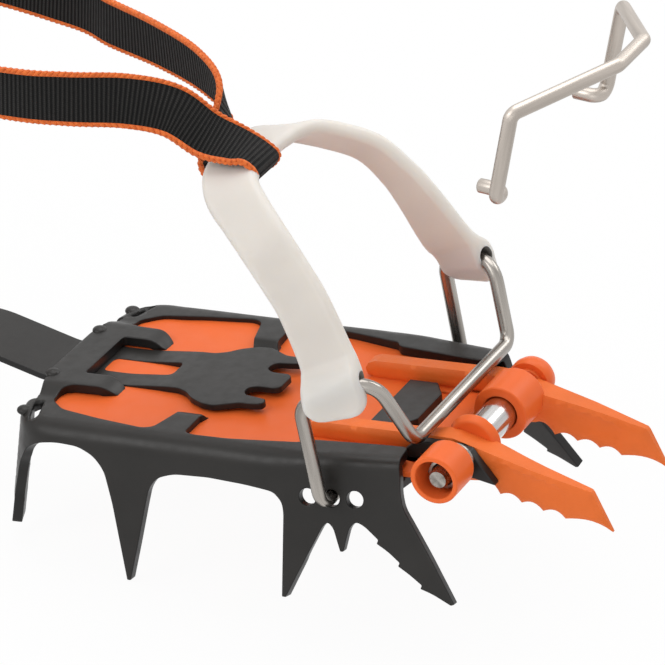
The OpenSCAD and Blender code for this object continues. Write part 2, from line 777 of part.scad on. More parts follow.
module heel_flange() {
    web = 13;
    translate([0, heel_half_w, heel_h]) {
        fold(heel_rear_edge + 6, heel_front_x - 4);
        upright([
            [heel_front_x - 4, -fold_r + 0.5], [heel_front_x - 3, -web], [heel_tooth_x[0] + 3.5, -web - 10],
            [heel_tooth_x[0] + 0.5, -heel_h], [heel_tooth_x[0] - 0.5, -heel_h],
            [heel_tooth_x[0] - 5, -web - 8], [heel_tooth_x[0] - 11, -web],
            [heel_tooth_x[1] + 11, -web - 2], [heel_tooth_x[1] + 5, -web - 8],
            [heel_tooth_x[1] + 0.5, -heel_h], [heel_tooth_x[1] - 0.5, -heel_h],
            [heel_tooth_x[1] - 4.5, -web - 8], [heel_rear_edge + 6, -web],
            [heel_rear_edge + 6, -fold_r + 0.5]], -sheet_t, 0);
    }
}

module heel_frame() {
    edge = heel_half_w - fold_r;
    color(steel_black) ground_space() difference() {
        union() {
            both_sides() {
                plate([[heel_front_x, 0], [heel_front_x, 18], [heel_front_x - 4, edge],
                    [heel_rear_edge + 6, edge], [heel_rear_edge, 20], [heel_rear_edge, 0]],
                    heel_low, heel_h);
                heel_flange();
            }
        }
        both_sides() plate([[heel_front_x - 12, 14], [heel_front_x - 12, 24], [heel_front_x - 30, 26],
            [heel_front_x - 30, 18]], heel_low - cut, heel_h + cut);
        both_sides() plate([[heel_front_x - 60, 18], [heel_front_x - 60, 26], [heel_rear_edge + 10, 24],
            [heel_rear_edge + 10, 14]], heel_low - cut, heel_h + cut);
        along_y(heel_bail_x, heel_bail_z, -heel_half_w - cut, heel_half_w + cut, wire_d + 2 * move_gap);
        for (p = rivet_places) translate([p[0], p[1], 0]) {
            translate([0, 0, heel_low - cut]) cylinder(h = sheet_t + 2 * cut, d = rivet_d + rest_gap);
            translate([0, 0, heel_h - rivet_head_h])
                cylinder(h = rivet_head_h + cut, d = rivet_head_d + rest_gap);
        }
    }
}

module heel_antisnow_plate() {
    high = heel_low - 9;
    side = heel_half_w - sheet_t - move_gap;
    post_d = 6;
    color(plastic_orange) ground_space() {
        difference() {
            both_sides() plate([[heel_front_x - 6, 0], [heel_front_x - 6, 18], [heel_front_x - 12, side - 2],
                [heel_bail_x + 8, side - 2], [heel_bail_x + 5, side - 10], [heel_bail_x - 5, side - 10],
                [heel_rear_edge + 14, side - 6], [heel_rear_edge + 6, 16], [heel_rear_edge + 6, 0]],
                high - plate_t, high);
            both_sides() plate([[guide_front_x + 6, -cut], [guide_front_x + 6, 14],
                [heel_rear_edge, 14], [heel_rear_edge, -cut]], high - plate_t - cut, high + cut);
        }
        both_sides() for (x = [heel_front_x - 8, heel_rear_edge + 8])
            translate([x, 17, high]) cylinder(h = heel_low - high, d = post_d);
    }
}

// Bar guide under the heel frame, and the latch that drops into the bar's holes
guide_front_x = heel_front_x - 28;
guide_len = 30;
guide_half_w = 17;
rivet_d = 4;
rivet_head_d = 7;
rivet_head_h = 1.2;
rivet_places = [for (x = [guide_front_x - 5, guide_front_x - guide_len + 5], y = [-14.8, 14.8]) [x, y]];
latch_pin_x = guide_front_x - 5;
latch_pin_d = 3;
latch_pin_z = guide_low - 3.4;
latch_half_w = 7;
latch_ear_t = 3;
latch_tooth_x = latch_pin_x - 15;
latch_tooth_d = 3.8;
latch_open = 16;
length_hole_w = latch_tooth_d + 2.5 * move_gap;
lug_end_y = latch_half_w + move_gap + latch_ear_t;

module bar_guide() {
    tooth_slot = 9;
    color(steel_black) ground_space() difference() {
        union() {
            translate([guide_front_x - guide_len, -guide_half_w, guide_low])
                cube([guide_len, 2 * guide_half_w, heel_low - guide_low]);
            both_sides() upright([[latch_pin_x - 5, guide_low + cut], [latch_pin_x - 3, latch_pin_z - 3],
                [latch_pin_x + 3, latch_pin_z - 3], [latch_pin_x + 5, guide_low + cut]],
                lug_end_y - latch_ear_t, lug_end_y);
        }
        translate([guide_front_x - guide_len - cut, -bar_w / 2 - move_gap, bar_h - bar_t / 2 - move_gap])
            cube([guide_len + 2 * cut, bar_w + 2 * move_gap, heel_low]);
        translate([latch_tooth_x - tooth_slot / 2, -latch_tooth_d / 2 - move_gap, guide_low - cut])
            cube([tooth_slot, latch_tooth_d + 2 * move_gap, heel_low]);
        along_y(latch_pin_x, latch_pin_z, -guide_half_w, guide_half_w, latch_pin_d + 0.1);
        for (p = rivet_places)
            translate([p[0], p[1], guide_low - cut]) cylinder(h = heel_low, d = rivet_d + rest_gap);
    }
}

module guide_rivets() {
    color(steel_bright) ground_space() for (p = rivet_places) translate([p[0], p[1], 0]) {
        translate([0, 0, guide_low]) cylinder(h = heel_h - rivet_head_h - guide_low, d = rivet_d);
        translate([0, 0, heel_h - rivet_head_h]) cylinder(h = rivet_head_h - 0.1, d = rivet_head_d);
        translate([0, 0, guide_low - 1]) cylinder(h = 1, d = rivet_d + 0.6);
    }
}

module latch_pin() {
    color(steel_bright) ground_space()
        along_y(latch_pin_x, latch_pin_z, -lug_end_y - 0.8, lug_end_y + 0.8, latch_pin_d);
}

// The latch hangs open, clear of the bar, and swings up by latch_open into a hole
module latch_space() {
    ground_space() translate([latch_pin_x, 0, latch_pin_z]) rotate([0, -latch_open, 0]) children();
}

module latch_lever() {
    reach = latch_pin_x - heel_rear_edge + 2;
    top = guide_low - latch_pin_z - move_gap;
    tooth_high = bar_h + bar_t / 2 - latch_pin_z;
    color(plastic_orange) latch_space() difference() {
        union() {
            upright([[-reach, top - 5], [-reach, top - 2.5], [-reach + 6, top - 0.5], [-1, top],
                [-1, top - 3.5], [-reach + 8, top - 3.5]], -latch_half_w, latch_half_w);
            along_y(0, 0, -latch_half_w, latch_half_w, 2 * top);
            translate([latch_tooth_x - latch_pin_x, 0, top - 1])
                cylinder(h = tooth_high - top + 1, d = latch_tooth_d);
        }
        along_y(0, 0, -latch_half_w - cut, latch_half_w + cut, latch_pin_d + 2 * move_gap);
    }
}

// A leaf spring on the latch that comes up to the bar's lower face when the latch swings up
module latch_spring() {
    top = guide_low - latch_pin_z - move_gap;
    leaf_t = 0.8;
    bow = 2;
    front_x = -guide_len + 3;
    color(steel_bright) latch_space() upright([[front_x - 11, top], [front_x, top], [front_x, top + leaf_t],
        [front_x - 7, top + leaf_t], [front_x - 16, top + bow + leaf_t], [front_x - 16, top + bow]], -3, 3);
}

// Heel bail and lever
pivot_z = heel_bail_z + heel_bail_rise;
bail_bar_half = 22;
heel_bail_side = [[heel_bail_x, heel_half_w - sheet_t - 3, heel_bail_z],
    [heel_bail_x, heel_foot_y + 2, heel_bail_z],
    [heel_pivot_x + 8, heel_foot_y - 1, pivot_z - 6], [heel_pivot_x, bail_bar_half + 6, pivot_z]];
heel_bail_path = wire_path(concat(heel_bail_side, mirrored(heel_bail_side)), bail_bend_r, 5);

module heel_bail_wire() {
    color(steel_bright) ground_space() wire(heel_bail_path, wire_d);
}

lever_half_w = 13;
head_half_w = 22;
head_low = 46;
slot_y = 16.5;
slot_t = 5;
wheel_h = 10;
wheel_low = 20;
screw_d = 4;
hub_r = 6;

module lever_space() {
    ground_space() translate([heel_pivot_x, 0, pivot_z]) children();
}

module heel_lever() {
    slot_high = strap_w + 2;
    color(steel_black) lever_space() difference() {
        union() {
            along_y(0, 0, -lever_half_w, lever_half_w, 2 * hub_r);
            upright([[-lever_t / 2, 0], [lever_t / 2, 0], [lever_t / 2, lever_len - 4],
                [lever_t / 2 - 3, lever_len], [-lever_t / 2, lever_len]], -lever_half_w, lever_half_w);
            upright([[0, -hub_r], [14, -6], [16, 2], [12, 3], [lever_t / 2, 8]], -9, 9);
            upright([[-lever_t / 2 + 2, head_low], [lever_t / 2 - 2, head_low],
                [lever_t / 2 - 2, lever_len - 1], [-lever_t / 2 + 2, lever_len - 1]],
                -head_half_w, head_half_w);
        }
        along_y(0, 0, -lever_half_w - cut, lever_half_w + cut, wire_d + 2 * move_gap);
        translate([-lever_t, -wheel_d / 2 - 1, wheel_low - move_gap])
            cube([2 * lever_t, wheel_d + 2, wheel_h + 2 * move_gap]);
        translate([0, 0, wheel_low - 8]) cylinder(h = wheel_h + 16, d = screw_d + 0.1);
        both_sides() translate([-lever_t, slot_y - slot_t / 2, head_low + 1.5])
            cube([2 * lever_t, slot_t, slot_high]);
    }
}

module adjust_screw() {
    color(steel_bright) lever_space() translate([0, 0, wheel_low - 8])
        cylinder(h = wheel_h + 16, d = screw_d);
}

module adjust_wheel() {
    grip_d = 2.4;
    grips = 14;
    color(paint_orange) lever_space() translate([0, 0, wheel_low]) difference() {
        cylinder(h = wheel_h, d = wheel_d);
        translate([0, 0, -cut]) cylinder(h = wheel_h + 2 * cut, d = screw_d + 2 * move_gap);
        for (k = [0:grips - 1]) rotate([0, 0, 360 * k / grips])
            translate([wheel_d / 2 + 0.5, 0, -cut]) cylinder(h = wheel_h + 2 * cut, d = grip_d);
    }
}

// Ankle strap: hand-chosen points from the near end, round the lever, over the band and back.
// Each entry is a place and the direction of the webbing's width there.
upward = [0, 0, 1];
strap_z = pivot_z + head_low + 1.5 + (strap_w + 2) / 2;
band_mid = concat([on_ground(band_top[0], band_top[2])[0]], [on_ground(band_top[0], band_top[2])[1]]);
wrap_gap = 1;
wrap = band_t / 2 + strap_t / 2 + wrap_gap;
wrap_angle = band_top_tilt + frame_pitch;

// Place round the band's top, by distance along its width and height off its middle
function at_band(along, off, y) = [band_mid[0] + along * cos(wrap_angle) - off * sin(wrap_angle), y,
    band_mid[1] + along * sin(wrap_angle) + off * cos(wrap_angle)];

front_edge = band_w / 2 - band_t / 2;
strap_route = [
    [[-214, -23.4, strap_z], upward],
    [[-232, -20.6, strap_z], upward],
    [[heel_pivot_x + 2, -16.8, strap_z], upward],
    [[heel_pivot_x - 7, -17.6, strap_z], upward],
    [[heel_pivot_x - strap_back, -22, strap_z], upward],
    [[heel_pivot_x - 2, -25.4, strap_z], upward],
    [[-228, -25.6, strap_z], upward],
    [[-200, -28.4, strap_z + 2], upward],
    [[-150, -30, 138], upward],
    [[-92, -27, 138.6], [0, 0.1, 1]],
    [[-72, -23.5, 138.4], [0, -0.1, 1]],
    [[-54, -17, 137], [0, 0.1, 1]],
    [[-42, -9.5, 133.4], [0, 0.7, 0.7]],
    [[-34, -4, 129.4], [0, 0.95, 0.3]],
    [at_band(1, wrap + 0.4, -0.5), [0, 1, 0]],
    [at_band(front_edge, wrap, 0), [0, 1, 0]],
    [at_band(front_edge + wrap + wrap_gap / 2, 0, 0), [0, 1, 0]],
    [at_band(front_edge + wrap_gap / 2, -wrap - wrap_gap, 0), [0, 1, 0]],
    [at_band(0, -wrap - wrap_gap / 2, 0.5), [0, 1, 0]],
    [at_band(-12.4, -wrap - wrap_gap, 2.5), [0, 1, -0.25]],
    [[-40.6, 6.5, 121.4], [0, 0.8, -0.6]],
    [[-46, 12.4, 129], [0, 0.4, -1]],
    [[-58, 19.8, 131.4], [0, 0.2, -1]],
    [[-74, 29.6, 132.4], [0, 0.1, -1]],
    [[-91, 38, 133], -upward],
    [[-108, 43.5, 133.6], -upward],
    [[-150, 43.5, 135], -upward],
    [[-196, 34, strap_z + 2], -upward],
    [[-228, 26.4, strap_z], -upward],
    [[heel_pivot_x - 2, 25.4, strap_z], -upward],
    [[heel_pivot_x - strap_back, 22, strap_z], -upward],
    [[heel_pivot_x - 7, 17.6, strap_z], -upward],
    [[heel_pivot_x + 2, 16.8, strap_z], -upward],
    [[-232, 20.4, strap_z], -upward],
    [[-204, 28.2, strap_z + 1], -upward],
    [[-176, 35, strap_z + 3], -upward]
];
strap_steps = 3;
strap_path = curve([for (p = strap_route) p[0]], strap_steps);
strap_widths = curve([for (p = strap_route) p[1]], strap_steps);

module ankle_strap() {
    outline = flat_outline(strap_w, strap_t, 0.4);
    color(webbing_black) ground_space()
        ribbon(strap_path, strap_widths, [for (p = strap_path) outline]);
}

// A slider that holds the loose end of the strap against its run
module strap_slider() {
    slider_x = -205;
    slider_y = 30;
    turn = 14;
    wall = 3;
    opening = 7.5;
    len_x = 7;
    color(steel_black) ground_space() translate([slider_x, slider_y, strap_z + 1.2]) rotate([0, 0, turn])
        difference() {
            translate([-len_x / 2, -opening / 2 - wall, -strap_w / 2 - wall])
                cube([len_x, opening + 2 * wall, strap_w + 2 * wall]);
            translate([-len_x, -opening / 2, -strap_w / 2 - 0.8])
                cube([2 * len_x, opening, strap_w + 1.6]);
        }
}

// Spare wire bail, held above the front points
spare_side = [[59.5, 31.5, 147], [67, 31.5, 147], [67, 37, 146.6], [71.3, 37, 173.5], [89.7, 8.6, 179.5]];

module spare_toe_bail() {
    spare_bend_r = 2.6;
    color(steel_bright) ground_space()
        wire(wire_path(concat(spare_side, mirrored(spare_side)), spare_bend_r, 5), wire_d);
}

front_rail_left();
front_rail_right();
front_brace_left();
front_brace_right();
rear_corner_left();
rear_corner_right();
toe_panel_left();
toe_panel_right();
rear_bridge();
cross_member();
front_antisnow_plate();
front_point_left();
front_point_right();
axle_bolt();
axle_nut();
axle_spacer();
axle_washers();
linking_bar();
toe_bail_wire();
toe_band();
heel_frame();
heel_antisnow_plate();
bar_guide();
guide_rivets();
latch_pin();
latch_lever();
latch_spring();
heel_bail_wire();
heel_lever();
adjust_screw();
adjust_wheel();
strap_slider();
ankle_strap();
spare_toe_bail();
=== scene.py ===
"""Looks of a mountaineering crampon: bent sheet steel, painted front points, wire bails, a milky
toe band and ribbed webbing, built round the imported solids. Sizes are in millimetres until they
become mesh points, which are in metres in the shared frame.
"""

import logging
import math
from collections.abc import Callable, Iterable, Sequence
from dataclasses import dataclass, field, replace
from enum import Enum

import bmesh
import bpy
import numpy as np
from mathutils import Matrix, Vector, geometry
from mathutils.bvhtree import BVHTree


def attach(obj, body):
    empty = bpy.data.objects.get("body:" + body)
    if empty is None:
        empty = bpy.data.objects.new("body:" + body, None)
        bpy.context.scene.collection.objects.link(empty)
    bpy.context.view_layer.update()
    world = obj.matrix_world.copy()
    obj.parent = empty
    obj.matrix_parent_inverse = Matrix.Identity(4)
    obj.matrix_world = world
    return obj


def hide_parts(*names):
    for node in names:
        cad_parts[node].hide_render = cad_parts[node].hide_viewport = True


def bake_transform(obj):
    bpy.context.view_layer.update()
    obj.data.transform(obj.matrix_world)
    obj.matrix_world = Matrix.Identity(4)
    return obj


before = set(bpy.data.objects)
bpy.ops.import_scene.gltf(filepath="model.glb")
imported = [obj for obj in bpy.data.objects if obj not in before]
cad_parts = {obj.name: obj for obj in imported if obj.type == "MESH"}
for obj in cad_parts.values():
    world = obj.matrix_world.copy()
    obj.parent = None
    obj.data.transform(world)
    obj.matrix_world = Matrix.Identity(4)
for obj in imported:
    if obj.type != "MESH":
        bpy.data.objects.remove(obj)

LOG = logging.getLogger("crampon")
MM = 0.001
TURN = 2 * math.pi
SHIFT_X = 78.3526
FRAME_H = 52.5
PITCH = math.radians(7)
AXLE = (51.6, -2.8)
WIRE_D = 4.1
ROW_SHARE = 0.866  # height of a triangle of side 1, for the rows of a fill
CLEAR_SHARE = 0.55  # room that a fill leaves along its edges
CORNER_SHARE = 0.45  # most of a side that a rounded corner takes
STRAY_SHARE = 0.45  # furthest that a bevel's point may lie from the plain skin

Point2 = tuple[float, float]
Point3 = tuple[float, float, float]
Outline = Sequence[Point2]
Tri = tuple[int, int, int]
Ring = tuple[Vector, Vector, Vector, float]
Reach = float | Callable[[float], float]
Obj = bpy.types.Object
Material = bpy.types.Material
Socket = bpy.types.NodeSocket
Tree = bpy.types.NodeTree


class Body(Enum):
    """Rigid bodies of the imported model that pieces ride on."""

    FRONT = "front"
    TOE_BAIL = "toe_bail"
    HEEL = "heel_section"
    LATCH = "length_latch"
    HEEL_BAIL = "heel_bail"
    LEVER = "heel_lever"
    WHEEL = "adjust_wheel"
    SPARE = "spare_bail"


class Slot(Enum):
    """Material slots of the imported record."""

    STEEL = "coated_steel"
    PAINT = "orange_paint"
    BRIGHT = "bright_steel"
    ORANGE = "orange_plastic"
    MILKY = "milky_plastic"
    BLACK = "black_plastic"
    WEBBING = "webbing"


# ---------------------------------------------------------------------- places and paths


def ground(x: float, y: float, z: float) -> Vector:
    """Turns a place of the level heel section into a point in metres."""
    return Vector(((x + SHIFT_X) * MM, y * MM, z * MM))


def front(x: float, y: float, z: float) -> Vector:
    """Turns a place of the toe-up front section into a point in metres."""
    c, s = math.cos(PITCH), math.sin(PITCH)
    return ground(x * c - z * s, y, FRAME_H + x * s + z * c)


def in_front(v: Vector) -> Vector:
    """Gives a point of the row frame in the front section's own frame, in millimetres.

    Args:
        v: Point of the row frame, in metres.

    Returns:
        The point in the front section's frame.
    """
    x, z = v.x / MM - SHIFT_X, v.z / MM - FRAME_H
    c, s = math.cos(PITCH), math.sin(PITCH)
    return Vector((x * c + z * s, v.y / MM, z * c - x * s))


def round_axle(across: float, along: float, up: float) -> Vector:
    """Gives a point round the axle of the front points."""
    return front(AXLE[0] + across, along, AXLE[1] + up)


def lerp_table(table: Outline, x: float) -> float:
    """Reads a table of (place, value) pairs, straight between its entries and held beyond them.

    Args:
        table: Pairs of place and value, by place.
        x: Place to read at.

    Returns:
        The value there.
    """
    if x <= table[0][0]:
        return table[0][1]
    for (a, va), (b, vb) in zip(table, table[1:]):
        if x <= b:
            return va + (vb - va) * (x - a) / (b - a)
    return table[-1][1]


def unit(x: float) -> float:
    """Holds a value between 0 and 1."""
    return min(max(x, 0.0), 1.0)


def smoothstep(a: float, b: float, x: float) -> float:
    """Rises smoothly from 0 at a to 1 at b."""
    t = unit((x - a) / (b - a))
    return t * t * (3 - 2 * t)


def quarter(x: float) -> float:
    """Rises from 0 at 0 to 1 at 1, as a quarter circle does."""
    return math.sqrt(max(0.0, 1 - (1 - min(x, 1.0)) ** 2))


def curve_through(points: Sequence[Vector], steps: int) -> list[Vector]:
    """Puts a smooth curve through points.

    Args:
        points: Points that the curve passes.
        steps: Steps between neighbouring points.

    Returns:
        Points along the curve.
    """
    out: list[Vector] = []
    last = len(points) - 1
    for i in range(last):
        a, b = points[max(i - 1, 0)], points[i]
        c, d = points[i + 1], points[min(i + 2, last)]
        for k in range(steps):
            f = k / steps
            out.append((2 * b + (c - a) * f + (2 * a - 5 * b + 4 * c - d) * f * f
                        + (3 * b - a - 3 * c + d) * f ** 3) / 2)
    return out + [points[last].copy()]


def bent_path(points: Sequence[Vector], radii: Sequence[float], steps: int = 10) -> list[Vector]:
    """Rounds the corners of a path, as a bent wire has them.

    Args:
        points: Corners of the path, in metres.
        radii: Radius of each bend in millimetres.
        steps: Steps round each bend.

    Returns:
        Points along the rounded path.
    """
    out = [points[0].copy()]
    for a, b, c, radius in zip(points, points[1:], points[2:], radii):
        r = radius * MM
        u, v = (a - b).normalized(), (c - b).normalized()
        half = u.angle(v) / 2
        mid = b + (u + v).normalized() * r / math.sin(half)
        start, stop = (b + way * r / math.tan(half) - mid for way in (u, v))
        turn = math.pi - 2 * half
        out += [mid + (start * math.sin(turn * (1 - k / steps)) + stop * math.sin(turn * k / steps))
                / math.sin(turn) for k in range(steps + 1)]
    return out + [points[-1].copy()]


def mirrored(points: Sequence[Vector]) -> list[Vector]:
    """Gives the points of the other side, in reverse order."""
    return [Vector((p.x, -p.y, p.z)) for p in reversed(points)]


def heading(path: Sequence[Vector], i: int) -> Vector:
    """Gives the direction of a path at one of its points."""
    return (path[min(i + 1, len(path) - 1)] - path[max(i - 1, 0)]).normalized()


def square_to(side: Vector, way: Vector) -> Vector:
    """Turns a cross direction square to a way."""
    return (side - way * side.dot(way)).normalized()


# ---------------------------------------------------------------------- plan outlines


def circle(x: float, y: float, r: float, sides: int) -> list[Point2]:
    """Gives the outline of a round hole."""
    turns = (TURN * k / sides for k in range(sides))
    return [(x + r * math.cos(a), y + r * math.sin(a)) for a in turns]


def inside(poly: Outline, points: np.ndarray) -> np.ndarray:
    """Tells which plan points lie inside a closed outline.

    Args:
        poly: Closed outline.
        points: Plan points, one a row.

    Returns:
        A flag for each point.
    """
    p = np.asarray(poly, float)
    hit = np.zeros(len(points), bool)
    x, y = points[:, 0], points[:, 1]
    for (xi, yi), (xj, yj) in zip(p, np.roll(p, 1, axis=0)):
        if yi != yj:
            hit ^= ((yi > y) != (yj > y)) & (x < (xj - xi) * (y - yi) / (yj - yi) + xi)
    return hit


def within(rings: Sequence[Outline], points: np.ndarray) -> np.ndarray:
    """Tells which plan points lie inside the first outline and outside the others."""
    return np.logical_xor.reduce([inside(ring, points) for ring in rings])


def edge_distance(poly: Outline, points: np.ndarray) -> np.ndarray:
    """Measures how far plan points lie from an outline.

    Args:
        poly: Closed outline.
        points: Plan points, one a row.

    Returns:
        The distance of each point.
    """
    p = np.asarray(poly, float)
    best = np.full(len(points), 1e9)
    for a, b in zip(p, np.roll(p, -1, axis=0)):
        d = b - a
        t = np.clip((points - a) @ d / max(d @ d, 1e-12), 0, 1)
        best = np.minimum(best, np.hypot(*(points - a - t[:, None] * d).T))
    return best


def dense(poly: Outline, step: float, closed: bool = True) -> list[Point2]:
    """Adds points along an outline so that none are further apart than a step.

    Args:
        poly: Points of the outline.
        step: Largest distance between neighbours.
        closed: Whether the last point joins the first.

    Returns:
        The outline with its added points.
    """
    out: list[Point2] = []
    ends = list(poly[1:]) + ([poly[0]] if closed else [])
    for (ax, ay), (bx, by) in zip(poly, ends):
        n = max(1, math.ceil(math.hypot(bx - ax, by - ay) / step))
        out += [(ax + (bx - ax) * k / n, ay + (by - ay) * k / n) for k in range(n)]
    return out if closed else out + [poly[-1]]


def rounded(poly: Outline, radius: float, steps: int = 4,
            sharp: Iterable[int] = ()) -> list[Point2]:
    """Rounds the corners of a closed outline.

    Args:
        poly: Corners of the outline.
        radius: Largest radius of a corner.
        steps: Steps round each corner.
        sharp: Numbers of the corners that stay sharp.

    Returns:
        The outline with its corners rounded.
    """
    keep = set(sharp)
    out: list[Point2] = []
    n = len(poly)
    for i in range(n):
        a, b, c = Vector(poly[i - 1]), Vector(poly[i]), Vector(poly[(i + 1) % n])
        u, v = a - b, c - b
        if i in keep or min(u.length, v.length) < 1e-6:
            out.append((b.x, b.y))
            continue
        back = min(radius, u.length * CORNER_SHARE, v.length * CORNER_SHARE)
        p, q = b + u.normalized() * back, b + v.normalized() * back
        for k in range(steps + 1):
            t = k / steps
            w = p * (1 - t) ** 2 + b * 2 * t * (1 - t) + q * t * t
            out.append((w.x, w.y))
    return out


def fill(outline: Outline, holes: Sequence[Outline], step: float) -> tuple[list[Point2], list[Tri]]:
    """Fills a plan outline with small triangles.

    Args:
        outline: Closed outline, with points as dense as the fill.
        holes: Closed outlines that stay open.
        step: Distance between the points inside.

    Returns:
        The plan points, those of the outlines first, and the triangles that join them.
    """
    rings = [list(outline)] + [list(h) for h in holes]
    verts: list[Vector] = []
    edges: list[tuple[int, int]] = []
    for ring in rings:
        base = len(verts)
        verts += [Vector(p) for p in ring]
        edges += [(base + i, base + (i + 1) % len(ring)) for i in range(len(ring))]
    edge = np.asarray(outline, float)
    low, high = edge.min(axis=0), edge.max(axis=0)
    row = step * ROW_SHARE
    grid = [(low[0] + (c + (0.25 if r % 2 else 0.75)) * step, low[1] + (r + 0.5) * row)
            for r in range(int((high[1] - low[1]) / row) + 1)
            for c in range(int((high[0] - low[0]) / step) + 1)]
    spots = np.asarray(grid, float)
    spots = spots[within(rings, spots)]
    for ring in rings:
        spots = spots[edge_distance(ring, spots) > step * CLEAR_SHARE]
    verts += [Vector(p) for p in spots.tolist()]
    points, _, tris, *_ = geometry.delaunay_2d_cdt(verts, edges, [], 0, 1e-7)
    plan = np.asarray([(p.x, p.y) for p in points], float)
    mids = np.asarray([plan[list(t)].mean(axis=0) for t in tris])
    kept = []
    for (a, b, c), solid in zip(tris, within(rings, mids)):
        if solid:
            (ax, ay), (bx, by), (cx, cy) = plan[a], plan[b], plan[c]
            left = (bx - ax) * (cy - ay) > (by - ay) * (cx - ax)
            kept.append((a, b, c) if left else (a, c, b))
    return [(p.x, p.y) for p in points], kept


# ---------------------------------------------------------------------- meshes


@dataclass
class Shape:
    """Points and faces on their way to a mesh."""

    verts: list[Vector] = field(default_factory=list)
    faces: list[tuple[int, ...]] = field(default_factory=list)
    slots: list[int] = field(default_factory=list)
    uvs: list[Point2] = field(default_factory=list)
    sides: int = 0

    def add(self, verts: Sequence[Vector], faces: Iterable[Sequence[int]],
            slot: int | Sequence[int] = 0) -> None:
        """Adds points, and faces that count from the first of them.

        Args:
            verts: Points to add.
            faces: Faces between them.
            slot: Material place of the faces, one for all or one for each.
        """
        base = len(self.verts)
        self.verts += verts
        fresh = [tuple(base + i for i in f) for f in faces]
        self.faces += fresh
        self.slots += [slot] * len(fresh) if isinstance(slot, int) else slot

    def rings(self, rings: Sequence[Sequence[Vector]], loop: bool = False) -> None:
        """Adds a skin over rings of points, closed at its ends or joined in a loop.

        Args:
            rings: Rings with the same number of points.
            loop: Whether the last ring joins the first.
        """
        n, m = len(rings[0]), len(rings)
        faces: list[tuple[int, ...]] = []
        for i in range(m if loop else m - 1):
            a, b = i * n, (i + 1) % m * n
            faces += [(a + j, a + (j + 1) % n, b + (j + 1) % n, b + j) for j in range(n)]
        if not loop:
            faces += [tuple(range(n - 1, -1, -1)), tuple((m - 1) * n + j for j in range(n))]
        self.add([p for ring in rings for p in ring], faces)

    def walls(self, sizes: Iterable[int], behind: int, slot: int = 0) -> None:
        """Joins the outlines of two facing fills, which are the first points of the shape.

        Args:
            sizes: Number of points in each outline.
            behind: Number of points in each fill.
            slot: Material place of the faces.
        """
        start = 0
        for size in sizes:
            for k in range(size):
                a, b = start + k, start + (k + 1) % size
                self.faces.append((a, b, behind + b, behind + a))
                self.slots.append(slot)
            start += size

    def mesh_object(self, name: str, materials: Sequence[Material], sharp: float = 35.0,
                    outward: bool = True) -> Obj:
        """Makes a Blender object of the shape.

        Args:
            name: Name of the piece.
            materials: Materials in the order of the faces' places.
            sharp: Angle in degrees above which an edge stays crisp.
            outward: Whether the faces are turned outwards.

        Returns:
            The new object, at the origin.
        """
        mesh = bpy.data.meshes.new(name)
        mesh.from_pydata(self.verts, [], self.faces)
        for poly, slot in zip(mesh.polygons, self.slots):
            poly.material_index = slot
        for m in materials:
            mesh.materials.append(m)
        mesh["sides"] = self.sides
        if self.uvs:
            layer = mesh.uv_layers.new(name="along_strap")
            for loop in mesh.loops:
                layer.data[loop.index].uv = self.uvs[loop.vertex_index]
        bm = bmesh.new()
        bm.from_mesh(mesh)
        if not self.uvs:
            bmesh.ops.remove_doubles(bm, verts=bm.verts, dist=1e-6)
        if outward:
            bmesh.ops.recalc_face_normals(bm, faces=bm.faces)
        bm.to_mesh(mesh)
        bm.free()
        crisp(mesh, sharp)
        return linked(name, mesh)


def linked(name: str, data: bpy.types.ID) -> Obj:
    """Makes an object of a mesh, a camera or a lamp, and puts it in the scene.

    Args:
        name: Name of the object.
        data: Mesh, camera or lamp that it shows.

    Returns:
        The new object.
    """
    obj = bpy.data.objects.new(name, data)
    bpy.context.scene.collection.objects.link(obj)
    return obj


def crisp(mesh: bpy.types.Mesh, angle: float) -> None:
    """Shades a mesh smooth, with crisp edges above an angle in degrees."""
    mesh.shade_smooth()
    mesh.set_sharp_from_angle(angle=math.radians(angle))


def settle(obj: Obj) -> Obj:
    """Turns an object's modifiers into plain mesh.

    Args:
        obj: Object with modifiers.

    Returns:
        The same object, with plain mesh.
    """
    bpy.context.view_layer.update()
    graph = bpy.context.evaluated_depsgraph_get()
    mesh = bpy.data.meshes.new_from_object(
        obj.evaluated_get(graph), preserve_all_data_layers=True, depsgraph=graph)
    old = obj.data
    obj.modifiers.clear()
    obj.data = mesh
    bpy.data.meshes.remove(old)
    return obj


def modified(obj: Obj, kind: str, **settings: object) -> Obj:
    """Gives an object one modifier with these settings, and turns it into plain mesh.

    Args:
        obj: Object to change.
        kind: Kind of modifier.
        settings: Value of each of its settings.

    Returns:
        The same object, with plain mesh.
    """
    mod = obj.modifiers.new(kind.lower(), kind)
    for title, value in settings.items():
        setattr(mod, title, value)
    return settle(obj)


def bevelled(obj: Obj, width: float, angle: float = 32.0, edge_slot: int = -1) -> Obj:
    """Rounds an object's crisp edges, as a deburred or moulded edge is.

    Args:
        obj: Object to finish.
        width: Width of the rounding in millimetres.
        angle: Angle in degrees above which an edge is rounded.
        edge_slot: Material place of the rounded faces, or -1 for their neighbours'.

    Returns:
        The same object, with plain mesh.
    """
    plain = bmesh.new()
    plain.from_mesh(obj.data)
    skin = BVHTree.FromBMesh(plain)
    plain.free()
    modified(obj, "BEVEL", width=width * MM, segments=2, limit_method="ANGLE",
             angle_limit=math.radians(angle), use_clamp_overlap=False, miter_outer="MITER_ARC",
             material=edge_slot)
    for v in obj.data.vertices:
        spot, _normal, _face, gap = skin.find_nearest(v.co)
        if gap > STRAY_SHARE * width * MM:
            v.co = spot
    obj.data.shade_smooth()
    return modified(obj, "WEIGHTED_NORMAL", weight=80, keep_sharp=False)


